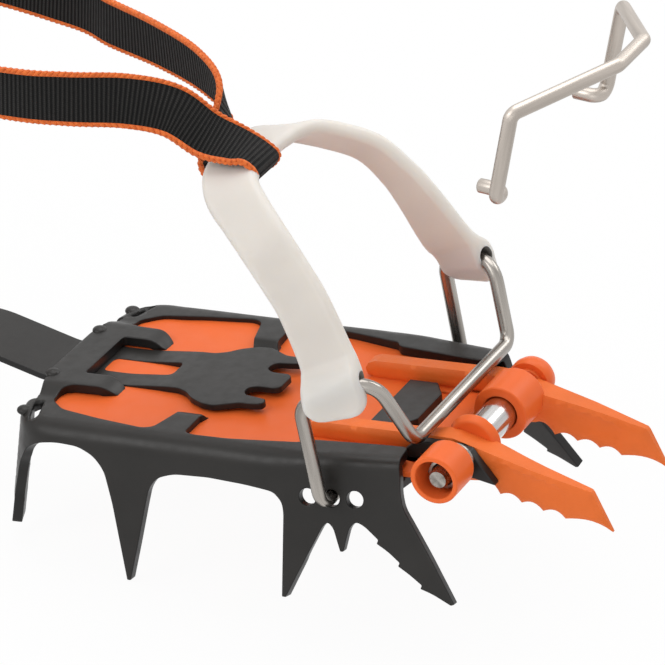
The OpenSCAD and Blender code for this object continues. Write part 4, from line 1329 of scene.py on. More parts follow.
@dataclass
class FrontFrame:
    """Front frame bent from one sheet, with its teeth, and the cross member under the points.

    Places are in the front section's own frame: x to the toe, y across, and depth down a flange
    from the corner line, where the flat top would meet the flange.
    """

    sheet: float = 3.0
    furthest: float = 3.6
    step: float = 1.4
    edge_step: float = 1.1
    deburr: Point2 = (0.3, 48)
    corner: tuple[Point2, ...] = (
        (-86.4, 27.5), (-85.5, 31.5), (-83.3, 35.6), (-79.8, 39), (-75, 41.1), (-66, 41.8),
        (-40, 41.8), (-20, 41.6), (-2, 41.3), (8, 40.4), (20, 38.7), (38.5, 36.2))
    fold_end: float = 38.6
    fold_steps: int = 120
    splay: tuple[Point2, ...] = (
        (-88, 13), (-80, 10), (-70, 5), (-50, 4), (-20, 5), (0, 11), (10, 14), (38, 15))
    bend: tuple[Point2, ...] = ((-88, 4), (-79, 5), (-70, 6), (0, 6), (12, 4.4), (38, 3.8))
    teeth: tuple[Point2, ...] = (
        (-86.4, 4), (-86.7, 12), (-86.3, 24), (-86.1, 37.6), (-84.7, 37.6), (-83.9, 26),
        (-82.3, 15.5), (-79.6, 9.0), (-75.5, 6.2), (-69, 5.0), (-62, 5.4), (-57, 7.8), (-54, 12),
        (-52.3, 22), (-49.9, 46), (-48.7, 46), (-45, 34), (-41.5, 22), (-39.5, 15.5), (-36.5, 12),
        (-31, 10.2), (-20, 9.8), (-8, 10.2), (-2, 10.8), (1.2, 11.3), (3.6, 14), (4, 17), (2.6, 42),
        (3.8, 42), (15.6, 20.2), (17.2, 18.7), (18.8, 20.4), (20.7, 27.1), (21.7, 27.1),
        (23.6, 20.2), (25.6, 18.1), (28.2, 19.4), (32.1, 23), (31.6, 24.1), (34.9, 26.2),
        (38.3, 29.2), (37.8, 30.2), (41.1, 32.4), (44.7, 35.3), (44.2, 36.3), (47.7, 37.6),
        (53.1, 40.6), (54.2, 40.2), (47.5, 27.3), (42.3, 18), (39.7, 13.5), (39.0, 9), (39.1, 5.5))
    tooth_r: float = 2.2
    tip_width: float = 1.6
    inner: tuple[Point2, ...] = (
        (37.5, 27.2), (30, 27.6), (16, 29), (7, 30), (5.5, 32.2), (-6, 34), (-16, 35.4),
        (-27, 35.7), (-30, 35), (-30.2, 24), (-26, 17), (-26, 9), (-34, 9), (-36.2, 16),
        (-37.8, 23.5), (-40.6, 34.2), (-43.6, 35.6), (-59, 33.6), (-72.4, 31), (-77.8, 26.5),
        (-77.8, 21.5), (-74.5, 19.4), (-64, 19), (-61, 17.5), (-60.3, 14), (-62, 11.9),
        (-74.5, 11.9), (-75, 10.5), (-75, 0), (-86.2, 0), (-86.2, 12))
    window_r: float = 1.8
    bridge_lift: float = 2.0
    bridge_x: Point2 = (-54, -62)
    bridge_y: Point2 = (25, 19)
    hook_curl: float = 5.2
    hook_from: Point2 = (-67, 9)
    hook_run: float = 7
    hook_fade: Point2 = (-50, -58)
    brace_drop: float = 2.4
    brace_x: tuple[Point2, Point2] = ((-48, -44), (-12, -16))
    brace_y: Point2 = (24.2, 21.6)
    holes: tuple[float, ...] = (11.5, 18.5, 25.5)
    hole_depth: float = 11.75
    hole_r: float = 2.5
    knob: Point2 = (-84.3, 14.3)
    corner_knob: Point2 = (-84.6, -0.2)
    knob_size: Point2 = (2.3, 1.3)
    knob_sink: float = 0.3
    relief: tuple[Point2, Point2] = ((-80.9, 29.6), (-78.9, 36.4))
    relief_r: float = 1.6
    relief_span: Point2 = (-9.0, 6.0)
    ear: Point3 = (36, 21.5, -1.6)
    cross_edge: float = 0.4

    def corner_at(self, x: float) -> tuple[Vector, Vector]:
        """Gives the corner line's point and outward direction at a place along the frame.

        Args:
            x: Place along the frame.

        Returns:
            The point, and the direction square to the corner line.
        """
        pts = self.corner
        last = len(pts) - 1
        if pts[0][0] < x < pts[last][0]:
            i = next(k for k in range(last) if x <= pts[k + 1][0])
            (xa, ya), (xb, yb) = pts[i], pts[i + 1]
            around = ((pts[max(k - 1, 0)], pts[min(k + 1, last)]) for k in (i, i + 1))
            sa, sb = ((b[1] - a[1]) / (b[0] - a[0]) for a, b in around)
            h, t = xb - xa, (x - xa) / (xb - xa)
            y = ((2 * t ** 3 - 3 * t * t + 1) * ya + (t ** 3 - 2 * t * t + t) * h * sa
                 + (3 * t * t - 2 * t ** 3) * yb + (t ** 3 - t * t) * h * sb)
            slope = ((6 * t * t - 6 * t) * (ya - yb) / h + (3 * t * t - 4 * t + 1) * sa
                     + (3 * t * t - 2 * t) * sb)
        else:
            (xa, ya), (xb, yb) = pts[:2] if x <= pts[0][0] else pts[-2:]
            slope = (yb - ya) / (xb - xa)
            y = ya + slope * (x - xa)
        return Vector((x, y, 0)), Vector((-slope, 1, 0)).normalized()

    def fold(self, x: float) -> Point3:
        """Gives the fold's angle, outer radius and set-back from the corner line.

        Args:
            x: Place along the frame.

        Returns:
            The angle in radians, and the radius and set-back in millimetres.
        """
        turn = math.radians(90 - lerp_table(self.splay, x))
        r = lerp_table(self.bend, x)
        return turn, r, r * math.tan(turn / 2)

    def on_flange(self, x: float, depth: float) -> Vector:
        """Gives the point on the sheet's outer face at a depth down the flange.

        Args:
            x: Place along the frame.
            depth: Depth below the corner line, or less than 0 on the flat top.

        Returns:
            The point in metres.
        """
        c, n = self.corner_at(x)
        turn, r, back = self.fold(x)
        up = Vector((0, 0, 1))
        if depth <= -back:
            p = c + n * depth
        elif depth < back:
            a = turn * (depth + back) / (2 * back)
            p = c - n * back - up * r + (n * math.sin(a) + up * math.cos(a)) * r
        else:
            p = c + (n * math.cos(turn) - up * math.sin(turn)) * depth
        return front(*p)

    def rise(self, x: float, y: float) -> float:
        """Gives the flat top's height: up at the bridge, curled at its hooks, low at the brace.

        Args:
            x: Place along the frame.
            y: Place across it.

        Returns:
            The height above the frame's own plane.
        """
        bridge = smoothstep(*self.bridge_y, y)
        lift = self.bridge_lift * bridge * smoothstep(*self.bridge_x, x)
        if x > self.hook_from[0] and y > self.hook_from[1]:
            curl = ((x - self.hook_from[0]) / self.hook_run) ** 2
            lift -= self.hook_curl * bridge * curl * smoothstep(*self.hook_fade, x)
        brace = smoothstep(*self.brace_y, y)
        for ends in self.brace_x:
            brace *= smoothstep(*ends, x)
        return lift - self.brace_drop * brace

    def trimmed(self, fold: Outline, cut: Outline, radius: float, sharp: Sequence[int],
                holes: Sequence[Outline] = ()) -> tuple[list[Point2], list[Tri]]:
        """Fills the sheet between its fold and a cut edge.

        Args:
            fold: Plan points along the fold.
            cut: Corners of the cut edge, from the fold's end to its start.
            radius: Largest radius of the cut edge's corners.
            sharp: Numbers of the corners that stay sharp.
            holes: Outlines that stay open.

        Returns:
            The plan points, and the triangles that join them.
        """
        keep = (0, 1, *(k + 2 for k in sharp))
        edge = rounded([fold[0], fold[-1], *cut], radius, sharp=keep)[2:]
        border = dense([fold[-1], *edge, fold[0]], self.edge_step, closed=False)[:-1]
        return fill([*fold[:-1], *border], holes, self.step)

    def half(self, shape: Shape, side: int) -> None:
        """Adds one half of the sheet's outer face, on the side of +y or -y.

        Args:
            shape: Shape to add to.
            side: 1 for +y, or -1 for -y.
        """
        first, n = self.corner[0][0], self.fold_steps
        xs = [first + (self.fold_end - first) * k / n for k in range(n + 1)]
        cut = self.teeth[::-1]
        tips = [k + d for k in range(len(cut) - 1) for d in (0, 1)
                if math.dist(cut[k], cut[k + 1]) < self.tip_width]
        holes = [circle(x, self.hole_depth, self.hole_r, 24) for x in self.holes]
        seam = [(x, -self.fold(x)[2]) for x in xs]
        spots, tris = self.trimmed(seam, cut, self.tooth_r, tips, holes)
        self.put(shape, [self.on_flange(x, depth) for x, depth in spots], tris, side)
        corners = ((*self.corner_at(x), self.fold(x)[2]) for x in xs)
        top = [(c - out * back).to_2d().to_tuple() for c, out, back in corners]
        middle = [k for k, p in enumerate(self.inner) if p[1] == 0]
        spots, tris = self.trimmed(top, self.inner, self.window_r, middle)
        self.put(shape, [front(x, y, self.rise(x, y)) for x, y in spots], tris, side)

    @staticmethod
    def put(shape: Shape, points: list[Vector], tris: list[Tri], side: int) -> None:
        """Adds points and triangles to a shape, turned over for the other side.

        Args:
            shape: Shape to add to.
            points: Points of the +y side.
            tris: Triangles between them.
            side: 1 for +y, or -1 for -y.
        """
        if side < 0:
            points = [Vector((p.x, -p.y, p.z)) for p in points]
            tris = [(a, c, b) for a, b, c in tris]
        shape.add(points, tris)

    def hold_back(self, obj: Obj, outer: int) -> None:
        """Draws the inner face back where the even thickness throws it far off, at twisted tips.

        Args:
            obj: Sheet with its thickness; its inner points follow its outer ones, in order.
            outer: Number of points on the outer face.
        """
        verts = obj.data.vertices
        for k in range(outer):
            away = verts[k + outer].co - verts[k].co
            if away.length > self.furthest * MM:
                verts[k + outer].co = verts[k].co + away.normalized() * self.furthest * MM

    def relieve(self, obj: Obj) -> None:
        """Cuts the relief slots behind the rear corners through the sheet.

        Args:
            obj: Sheet with its thickness.
        """
        (xa, ya), (xb, yb) = self.relief
        turn = math.atan2(yb - ya, xb - xa)
        arcs = ((xb, yb, turn - math.pi / 2), (xa, ya, turn + math.pi / 2))
        plan = [(x + self.relief_r * math.cos(a), y + self.relief_r * math.sin(a))
                for x, y, base in arcs for a in (base + math.pi * k / 8 for k in range(9))]
        for side in (1, -1):
            shape = Shape()
            shape.rings([[front(x, side * y, z) for x, y in plan] for z in self.relief_span])
            cut_through(obj, shape.mesh_object("relief_cutter", [obj.data.materials[1]]))

    def lower_ear(self, p: Vector) -> Vector:
        """Keeps the top of the far axle ear inside the plate's hood."""
        x, y, top = self.ear
        return Vector((p.x, p.y, min(p.z, top))) if p.x > x and p.y > y else p

    def build(self, finishes: Finishes) -> None:
        """Builds and dresses the bent sheet, its knobs and the cross member.

        Args:
            finishes: Every finish of the crampon.
        """
        shape = Shape()
        self.half(shape, 1)
        self.half(shape, -1)
        obj = shape.mesh_object("front_frame_sheet", finishes.steel, sharp=50, outward=False)
        outer = len(obj.data.vertices)
        # The rims take the second steel material, which paints shade on them.
        modified(obj, "SOLIDIFY", thickness=self.sheet * MM, offset=-1, use_even_offset=True,
                 material_offset_rim=1)
        self.hold_back(obj, outer)
        bevelled(obj, *self.deburr, edge_slot=1)
        self.relieve(obj)
        parts = ("front_rail", "front_brace", "rear_corner", "toe_panel")
        sections = [f"{part}_{side}" for part in parts for side in ("left", "right")]
        place(obj, Body.FRONT, Slot.STEEL, "rear_bridge", *sections)
        x, y = self.knob
        spots = [front(x, s * y, self.rise(x, y) - self.knob_sink) for s in (1, -1)]
        spots += [self.on_flange(*self.corner_knob), *mirrored([self.on_flange(*self.corner_knob)])]
        radius, height = self.knob_size
        studs = StudTree().apply(carrier("bridge_knobs", spots), finishes.steel[0],
                                 Radius=radius * MM, Height=height * MM)
        place(studs, Body.FRONT, Slot.STEEL)
        cross = refined("cross_member", "toe_cross_member", finishes.steel, self.cross_edge,
                        self.lower_ear)
        place(cross, Body.FRONT, Slot.STEEL, "cross_member")


@dataclass
class FrontPoints:
    """Two painted front points with scalloped undersides and a shallow panel in each side."""

    middle_y: float = 19.5
    thick: float = 6.0
    edge_thick: float = 2.4
    thin_from: float = 73.0
    thin_over: float = 22.0
    edge_r: Point2 = (0.9, 0.7)
    hub: float = 2.6
    hub_x: tuple[Point2, Point2] = ((40, 50), (76, 55))
    step: float = 1.3
    edge_step: float = 1.0
    recess: float = 0.55
    recess_edge: float = 1.3
    bolt_r: float = 3.2
    back: tuple[Point2, ...] = (
        (3, 0.2), (5.5, 1.2), (46, 1.5), (49, 1.35), (89.4, -10.8), (90.0, -11.6))
    rear: tuple[Point2, ...] = ((56.5, -10.9), (51.6, -11.4), (46, -10.2), (41, -5.6), (38, -4.5),
                                (6, -4.5), (2.6, -3.4), (2.0, -1.6))
    tip: Point2 = (95.0, -23.0)
    cusp: Point2 = (81.2, -20.0)
    root: Point2 = (57.0, -10.6)
    pitch: float = 6.4
    slope: float = 16.0
    scallops: tuple[float, ...] = (1.6, 1.5, 1.5, 1.5, 1.5)
    scallop_steps: int = 7
    panel: tuple[Point2, ...] = (
        (57.5, -6.6), (60.5, -3.4), (83.0, -10.4), (81.0, -15.6), (70.5, -13.2))

    def outline(self) -> list[Point2]:
        """Gives the side outline: over the back to the tip, and back along the underside.

        Returns:
            Points of the closed outline.
        """
        rise = math.tan(math.radians(self.slope))
        runs = [k * self.pitch for k in range(len(self.scallops) - 1)]
        marks = [self.tip, *((self.cusp[0] - d, self.cusp[1] + d * rise) for d in runs), self.root]
        under: list[Point2] = []
        for a, b, deep in zip(marks, marks[1:], self.scallops):
            for t in (j / self.scallop_steps for j in range(self.scallop_steps)):
                bow = deep * 4 * t * (1 - t) * (1.25 - 0.5 * t)
                under.append((a[0] + (b[0] - a[0]) * t, a[1] + (b[1] - a[1]) * t + bow))
        return dense([*self.back, *under, *self.rear], self.edge_step)

    def build(self, finishes: Finishes) -> None:
        """Builds and dresses both points.

        Args:
            finishes: Every finish of the crampon.
        """
        edge, bolt = self.outline(), circle(*AXLE, self.bolt_r, 28)
        spots, tris = fill(edge, [bolt], self.step)
        plan = np.asarray(spots, float)
        rim = np.minimum(edge_distance(edge, plan), edge_distance(bolt, plan))
        sunk = np.where(inside(self.panel, plan), edge_distance(self.panel, plan), 0.0)
        reach, drop = self.edge_r
        rising, falling = self.hub_x
        half = []
        for (x, _z), d, s in zip(spots, rim, sunk):
            thinner = (self.thick - self.edge_thick) * unit((x - self.thin_from) / self.thin_over)
            soft = drop * (1 - quarter(d / reach))
            half.append((self.thick - thinner) / 2 - soft
                        - self.recess * smoothstep(0, self.recess_edge, s))
        for name, side in (("left", 1), ("right", -1)):
            shape = Shape()
            for face in (1, -1):
                hub = self.hub if face == -side else 0.0
                deep = [h + hub * smoothstep(*rising, x) * smoothstep(*falling, x)
                        for (x, _z), h in zip(spots, half)]
                shape.add([front(x, side * self.middle_y + face * d, z)
                           for (x, z), d in zip(spots, deep)], tris)
            shape.walls((len(edge), len(bolt)), len(spots))
            obj = shape.mesh_object(f"front_point_{name}_painted", finishes.paint, sharp=38)
            place(obj, Body.FRONT, Slot.PAINT, f"front_point_{name}")


@dataclass
class AxleSet:
    """Bolt with its thread, nut, washers and bright sleeve between the front points.

    Profiles are pairs of place along the axle and radius.
    """

    bolt_end: float = -38.6
    bolt_tip: tuple[Point2, ...] = ((0, 2.2), (0.12, 2.5), (0.45, 2.66))
    bolt_r: float = 3.0
    pitch: float = 1.0
    groove: float = 0.34
    thread_start: float = 0.75
    thread_step: float = 0.125
    thread_count: int = 110
    thread_end: float = 14.8
    shank_r: float = 2.95
    seat: float = 26.5
    head: tuple[Point2, ...] = ((0, 2.95), (0, 4.4), (0.3, 4.7), (2.1, 4.7), (2.6, 4.2))
    socket: tuple[Point2, ...] = ((2.6, 2.7), (1.3, 2.65))
    nut_seat: float = 31.0
    nut_h: float = 4.0
    nut_flat: float = 4.2
    nut_round: float = 4.3
    nut_edge: float = 0.4
    nut_bore: Point2 = (3.1, 3.5)
    washer: tuple[Point2, ...] = (
        (25.5, 3.1), (25.5, 5.1), (25.7, 5.3), (26.3, 5.3), (26.5, 5.1), (26.5, 3.1))
    sleeve: tuple[Point2, ...] = (
        (-15.7, 3.2), (-15.7, 4.6), (-15.3, 5.0), (16.1, 5.0), (16.5, 4.6), (16.5, 3.2))

    def thread(self, y: float) -> Callable[[float], float]:
        """Gives the thread's radius by angle at a place along the bolt.

        Args:
            y: Place from the thread's start.

        Returns:
            The radius, as a function of the angle.
        """
        def reach(a: float) -> float:
            """Gives the radius of the groove or crest at an angle."""
            return self.bolt_r - self.groove * abs(2 * ((y / self.pitch - a / TURN) % 1.0) - 1)
        return reach

    def bolt(self) -> list[tuple[float, Reach]]:
        """Gives the bolt's profile, from its threaded end to the socket in its head.

        Returns:
            Place along the axle and reach of each ring.
        """
        threads = [k * self.thread_step for k in range(self.thread_count)]
        steps = [*self.bolt_tip, *((self.thread_start + d, self.thread(d)) for d in threads),
                 (self.thread_end, self.shank_r)]
        return ([(self.bolt_end + d, r) for d, r in steps]
                + [(self.seat + d, r) for d, r in self.head]
                + [(self.seat + d, hexagon(r)) for d, r in self.socket])

    def nut(self) -> list[tuple[float, Reach]]:
        """Gives the nut's profile, with chamfered corners and a countersunk bore.

        Returns:
            Place along the axle and reach of each ring.
        """
        flat = hexagon(self.nut_flat)
        seat, end = -self.nut_seat, -self.nut_seat - self.nut_h
        bore, mouth = self.nut_bore

        def chamfer(a: float) -> float:
            """Gives the nut's chamfered reach by angle."""
            return min(flat(a), self.nut_round)

        return [(seat, bore), (seat, chamfer), (seat - self.nut_edge, flat),
                (end + self.nut_edge, flat), (end, chamfer), (end, mouth),
                (end + self.nut_edge, bore)]

    def build(self, finishes: Finishes) -> None:
        """Builds and dresses the axle's pieces.

        Args:
            finishes: Every finish of the crampon.
        """
        washers = Shape()
        for s in (1, -1):
            part = turned([(s * y, r) for y, r in self.washer], loop=True)
            washers.add(part.verts, part.faces)
        for shape, name, node, sharp, finish in (
                (turned(self.bolt()), "axle_bolt_threaded", "axle_bolt", 40, finishes.bright),
                (turned(self.nut(), loop=True), "axle_nut_hex", "axle_nut", 30, finishes.bright),
                (washers, "axle_washers_pair", "axle_washers", 30, finishes.bright),
                (turned(self.sleeve, loop=True), "axle_sleeve", "axle_spacer", 30,
                 finishes.sleeve)):
            place(shape.mesh_object(name, finish, sharp), Body.FRONT, Slot.BRIGHT, node)


@dataclass
class FrontPlate:
    """Front anti-snow plate: a thin tube, hoods round the sleeve and a cap over the bolt's head.

    The pairs that start with "solid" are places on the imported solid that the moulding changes.
    """

    edge: float = 0.6
    rim: Point2 = (-20.0, 20.0)
    rim_lift: float = 3.2
    rear_x: float = -80.5
    rear_reach: float = 3.0
    rear_spread: float = 1.3
    solid_tube_y: Point2 = (-25.9, -37.0)
    solid_tube_r: Point2 = (5.5, 8.2)
    solid_tube_from: float = -25.6
    solid_tube_reach: Point3 = (4.5, 6.8, 8.6)
    tube_y: Point2 = (-28.8, -40.2)
    tube_r: Point2 = (5.7, 7.3)
    tube_shift: Point2 = (-0.4, 0.5)
    hood_x: float = 40.5
    hood_end: float = -16.1
    hood_shrink: float = 0.84
    hood_reach: Point2 = (6.6, 9.5)
    hood_near: Point2 = (0.5, 0.45)
    closed_r: float = 0.5
    cap_y: float = 25.4
    cap_start: float = 21.4
    cap_step: float = 26.4
    cap_back: float = 1.2
    cap_shrink: float = 0.7
    hoods: tuple[Point2, ...] = ((-7.0, -13.3), (7.0, 2.7))
    mound: tuple[Point2, ...] = (
        (22.5, 0.2), (22.5, 6.2), (23.4, 6.7), (25.5, 6.7), (27.4, 6.2), (28.8, 5.2), (29.6, 3.6),
        (30.0, 1.8), (30.1, 0.2))

    def reshape(self, p: Vector) -> Vector:
        """Gives a point's place on the moulded plate, from its place on the plain solid.

        Args:
            p: Place on the solid, in the front section's own frame.

        Returns:
            The place on the moulded plate.
        """
        x, y, z = p
        if x < self.rim[0]:
            z += self.rim_lift if abs(y) > self.rim[1] else 0.0
            rear = x < self.rear_x
            return Vector((x - self.rear_reach, y * self.rear_spread, z) if rear else (x, y, z))
        (ax, az), (start, end) = AXLE, self.tube_y
        dx, dz = x - ax, z - az
        far = math.hypot(dx, dz)
        near, between, beyond = self.solid_tube_reach
        if y < self.solid_tube_from and near < far < beyond:
            wall = 0 if far < between else 1
            scale = self.tube_r[wall] / self.solid_tube_r[wall]
            first, last = self.solid_tube_y
            share = unit((y - first) / (last - first))
            return Vector((ax + dx * scale + self.tube_shift[0], start + share * (end - start),
                           az + dz * scale + self.tube_shift[1]))
        if x <= self.hood_x:
            return p
        if abs(y - self.hood_end) < self.hood_near[0] and far < self.hood_reach[1]:
            scale = self.closed_r / far if far < self.hood_reach[0] else self.hood_shrink
            return Vector((ax + dx * scale, y, az + dz * scale))
        if y > self.cap_y:
            along = self.cap_start if y < self.cap_step else y - self.cap_back
            return Vector((ax + dx * self.cap_shrink, along, az + dz * self.cap_shrink))
        moved = next((new for old, new in self.hoods if abs(y - old) < self.hood_near[1]), y)
        return Vector((x, moved, z))

    def build(self, finishes: Finishes) -> None:
        """Builds and dresses the plate and the mound over the bolt's head.

        Args:
            finishes: Every finish of the crampon.
        """
        plate = refined("front_antisnow_plate", "front_snow_plate", finishes.orange, self.edge,
                        self.reshape)
        place(plate, Body.FRONT, Slot.ORANGE, "front_antisnow_plate")
        mound = turned(self.mound).mesh_object("bolt_head_mound", finishes.orange, sharp=50)
        place(mound, Body.FRONT, Slot.ORANGE)


@dataclass
class LinkingBar:
    """Flat linking bar, with its shaped head over the braces, its slot and the latch's holes."""

    thick: float = 2.0
    step: float = 2.4
    edge_step: float = 1.3
    deburr: Point2 = (0.25, 50)
    line: tuple[Point2, ...] = (
        (-236, 44), (-113, 44), (-88.09, 39.67), (-63.28, 42.71), (-47.58, 46.15), (-12, 50.5))
    soft_bend: float = 2.4
    half: tuple[Point2, ...] = (
        (-236, 0), (-236, 7.5), (-232, 11.5), (-44, 11.5), (-40.4, 13.2), (-37.6, 16), (-33, 18.4),
        (-28.8, 18.8), (-25.4, 17), (-22.2, 15.3), (-18.5, 15.3), (-15.2, 14.6), (-15.2, 11.6),
        (-19, 10.9), (-22.6, 10.4), (-24, 8.6), (-24, 6.2), (-21.8, 4.6), (-16.2, 4.6),
        (-14.8, 3.4), (-14.8, 0))
    edge_r: float = 1.3
    slot: tuple[float, float, float, float] = (-61.5, 23.0, 8.0, 2.2)
    hole_middle: float = -198.0
    hole_pitch: float = 8.0
    hole_count: int = 7
    hole_size: Point3 = (6.4, 4.8, 0.7)

    def at(self, x: float, y: float, face: int) -> Vector:
        """Gives a point on the bar's upper or lower face, with soft bends along the bar.

        Args:
            x: Place along the bar.
            y: Place across it.
            face: 1 for the upper face, or -1 for the lower.

        Returns:
            The point in metres.
        """
        reach = self.soft_bend
        spread = (-reach, -reach / 2, 0.0, reach / 2, reach)
        z = sum(lerp_table(self.line, x + d) for d in spread) / len(spread)
        rise = (lerp_table(self.line, x + reach) - lerp_table(self.line, x - reach)) / (2 * reach)
        off = face * self.thick / 2 / math.hypot(1, rise)
        return ground(x - off * rise, y, z + off)

    def opening(self, x: float, length: float, across: float, r: float, steps: int) -> list[Point2]:
        """Gives the outline of a rectangular opening on the bar's middle line."""
        a, b, w = x - length / 2, x + length / 2, across / 2
        return dense(rounded([(a, -w), (b, -w), (b, w), (a, w)], r, steps), self.edge_step)

    def build(self, finishes: Finishes) -> None:
        """Builds and dresses the bar.

        Args:
            finishes: Every finish of the crampon.
        """
        whole = [*self.half, *((x, -y) for x, y in reversed(self.half) if y > 0)]
        sharp = [k for k, p in enumerate(whole) if p[1] == 0]
        edge = dense(rounded(whole, self.edge_r, sharp=sharp), self.edge_step)
        rings = [self.opening(*self.slot, 5)]
        for k in range(self.hole_count):
            x = self.hole_middle + (k - self.hole_count // 2) * self.hole_pitch
            rings.append(self.opening(x, *self.hole_size, 3))
        spots, tris = fill(edge, rings, self.step)
        shape = Shape()
        shape.add([self.at(x, y, 1) for x, y in spots], tris)
        shape.add([self.at(x, y, -1) for x, y in spots], [(p, r, q) for p, q, r in tris])
        shape.walls([len(ring) for ring in (edge, *rings)], len(spots), slot=1)
        bar = shape.mesh_object("linking_bar_steel", finishes.steel, sharp=40)
        place(bevelled(bar, *self.deburr, edge_slot=1), Body.FRONT, Slot.STEEL, "linking_bar")


@dataclass
class ToeBail:
    """Bent wire bail with the flexible band that hangs on its two upper runs."""

    foot: tuple[Point3, Point3] = ((18.5, 36, -11.4), (18.5, 46.6, -11.4))
    tunnel: tuple[Point3, Point3] = ((15.6, 47, 20), (35.0, 39.9, 28.1))
    toe: Point3 = (42, 31.6, 4.8)
    bend_r: tuple[float, ...] = (5.0, 5.0, 8.6, 5.0)
    bore_r: float = 2.55
    bore_step: float = 0.006
    band_t: float = 4.4
    band_steps: int = 14
    end_r: float = 5.0
    end_soft: float = 2.4
    end_thin: float = 0.35
    swell_r: float = 4.6
    route: tuple[Point3, ...] = (
        (26.7, 46, 16.6), (24.9, 43.7, 23.7), (23.2, 40.9, 28.8), (21, 39, 33.2), (14.8, 36.7, 46),
        (9.7, 35.5, 53.8), (2.9, 33, 61.8), (-5.2, 27.4, 67.2), (-11.8, 21.6, 70.6),
        (-15.6, 14.6, 72.7), (-16.9, 7.5, 73.6))
    top: Point3 = (-17.2, 0, 73.9)
    across: tuple[Point3, ...] = (
        (0.87, -0.32, 0.365), (0.87, -0.32, 0.365), (0.9, -0.19, 0.37), (0.92, -0.1, 0.385),
        (0.85, -0.21, 0.47), (0.785, -0.32, 0.53), (0.71, -0.4, 0.57), (0.72, -0.4, 0.55),
        (0.86, -0.26, 0.38), (0.96, -0.15, 0.18), (0.99, -0.05, 0.09), (1, 0, 0.06))
    widths: tuple[float, ...] = (
        18, 18.4, 18, 17.2, 16, 15.6, 15.6, 15.8, 16.6, 17.4, 17.4, 17.4)

    def wire_path(self) -> list[Vector]:
        """Gives the bail's path from foot to foot."""
        half = [front(*p) for p in (*self.foot, *self.tunnel, self.toe)]
        return bent_path(half + mirrored(half), self.bend_r + self.bend_r[::-1])

    @staticmethod
    def section(width: float, thick: float, corners: int = 7) -> list[Point2]:
        """Gives the band's rounded section as (across, through) places.

        Args:
            width: Width of the band there.
            thick: Thickness of the band there.
            corners: Steps round each corner.

        Returns:
            Places round the section.
        """
        r = min(thick * 0.46, width * 0.4)
        u, v = width / 2 - r, thick / 2 - r
        out = []
        for cx, cy, start in ((u, v, 0), (-u, v, 90), (-u, -v, 180), (u, -v, 270)):
            for k in range(corners + 1):
                a = math.radians(start + 90 * k / corners)
                out.append((cx + r * math.cos(a), cy + r * math.sin(a)))
            if start in (0, 180):
                s = math.copysign(1, cx)
                out += [(cx * f, s * thick / 2) for f in (0.6, 0.2, -0.2, -0.6)]
        return out

    def band_shape(self) -> Shape:
        """Builds the band, swollen round the wire and rounded at its ends.

        Returns:
            The band's shape.
        """
        half = [Vector(p) for p in self.route]
        path = curve_through(half + [Vector(self.top)] + mirrored(half), self.band_steps)
        sides = [Vector(w) for w in self.across]
        turns = curve_through(sides + mirrored(sides[:-1]), self.band_steps)
        both = [Vector((w, 0, 0)) for w in self.widths + self.widths[-2::-1]]
        widths = [v.x for v in curve_through(both, self.band_steps)]
        walked = [0.0]
        for a, b in zip(path, path[1:]):
            walked.append(walked[-1] + (b - a).length)
        rings = []
        for i, p in enumerate(path):
            way = heading(path, i)
            w = square_to(turns[i], way)
            n = way.cross(w)
            end = min(walked[i], walked[-1] - walked[i])
            width = widths[i] - 2 * self.end_r * (1 - quarter(end / self.end_r))
            share = self.end_thin + (1 - self.end_thin) * quarter(end / self.end_soft)
            rings.append([front(*(p + w * u + n * (v * (1 + self.swell(p + w * u, n)))))
                          for u, v in self.section(width, self.band_t * share)])
        shape = Shape()
        shape.rings(rings)
        return shape

    def swell(self, q: Vector, n: Vector) -> float:
        """Gives how much thicker the band is at a place, from its distance to the wire.

        Args:
            q: Place on the band's middle face.
            n: Direction through the band.

        Returns:
            The added share of the thickness.
        """
        best = math.inf
        for s in (1, -1):
            a, b = (Vector((x, s * y, z)) for x, y, z in self.tunnel)
            off = q - a
            for way in ((b - a).normalized(), n):
                off -= way * off.dot(way)
            best = min(best, off.length)
        return math.exp(-(best / self.swell_r) ** 2)

    def build(self, finishes: Finishes) -> None:
        """Builds and dresses the wire and the band.

        Args:
            finishes: Every finish of the crampon.
        """
        wire = wire_shape(self.wire_path()).mesh_object("toe_bail_steel", finishes.bright, sharp=60)
        place(wire, Body.TOE_BAIL, Slot.BRIGHT, "toe_bail_wire")
        band = self.band_shape().mesh_object("toe_band_moulded", finishes.milky, sharp=70)
        for s in (1, -1):
            a, b = (front(x, s * y, z) for x, y, z in self.tunnel)
            way = (b - a).normalized() * self.bore_step
            line = [a - way * (5 - k) for k in range(5)] + [b + way * k for k in range(5)]
            bore = wire_shape(line, 2 * self.bore_r)
            # The bore's walls take the darker milky material: painted shade inside the band.
            cut_through(band, bore.mesh_object("bore_cutter", finishes.milky[1:], sharp=60))
        crisp(band.data, 50)
        place(band, Body.TOE_BAIL, Slot.MILKY, "toe_band")


# ---------------------------------------------------------------------- heel and loose pieces


@dataclass(frozen=True)
class Copy:
    """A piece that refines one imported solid, with rounded edges of a width."""

    node: str
    name: str
    width: float
    body: Body
    slot: Slot

    def build(self, finishes: Finishes) -> None:
        """Builds and dresses the piece."""
        obj = refined(self.node, self.name, finishes.of(self.slot), self.width)
        place(obj, self.body, self.slot, self.node)


@dataclass(frozen=True)
class WireBail:
    """A symmetrical bail of bent wire, by the places of one side on the level ground."""

    node: str
    name: str
    body: Body
    finish: str
    bend_r: float
    side: tuple[Point3, ...]

    def build(self, finishes: Finishes) -> None:
        """Builds and dresses the wire.

        Args:
            finishes: Every finish of the crampon.
        """
        half = [ground(*p) for p in self.side]
        path = bent_path(half + mirrored(half), [self.bend_r] * (2 * len(half) - 2))
        obj = wire_shape(path).mesh_object(self.name, getattr(finishes, self.finish), sharp=60)
        place(obj, self.body, Slot.BRIGHT, self.node)


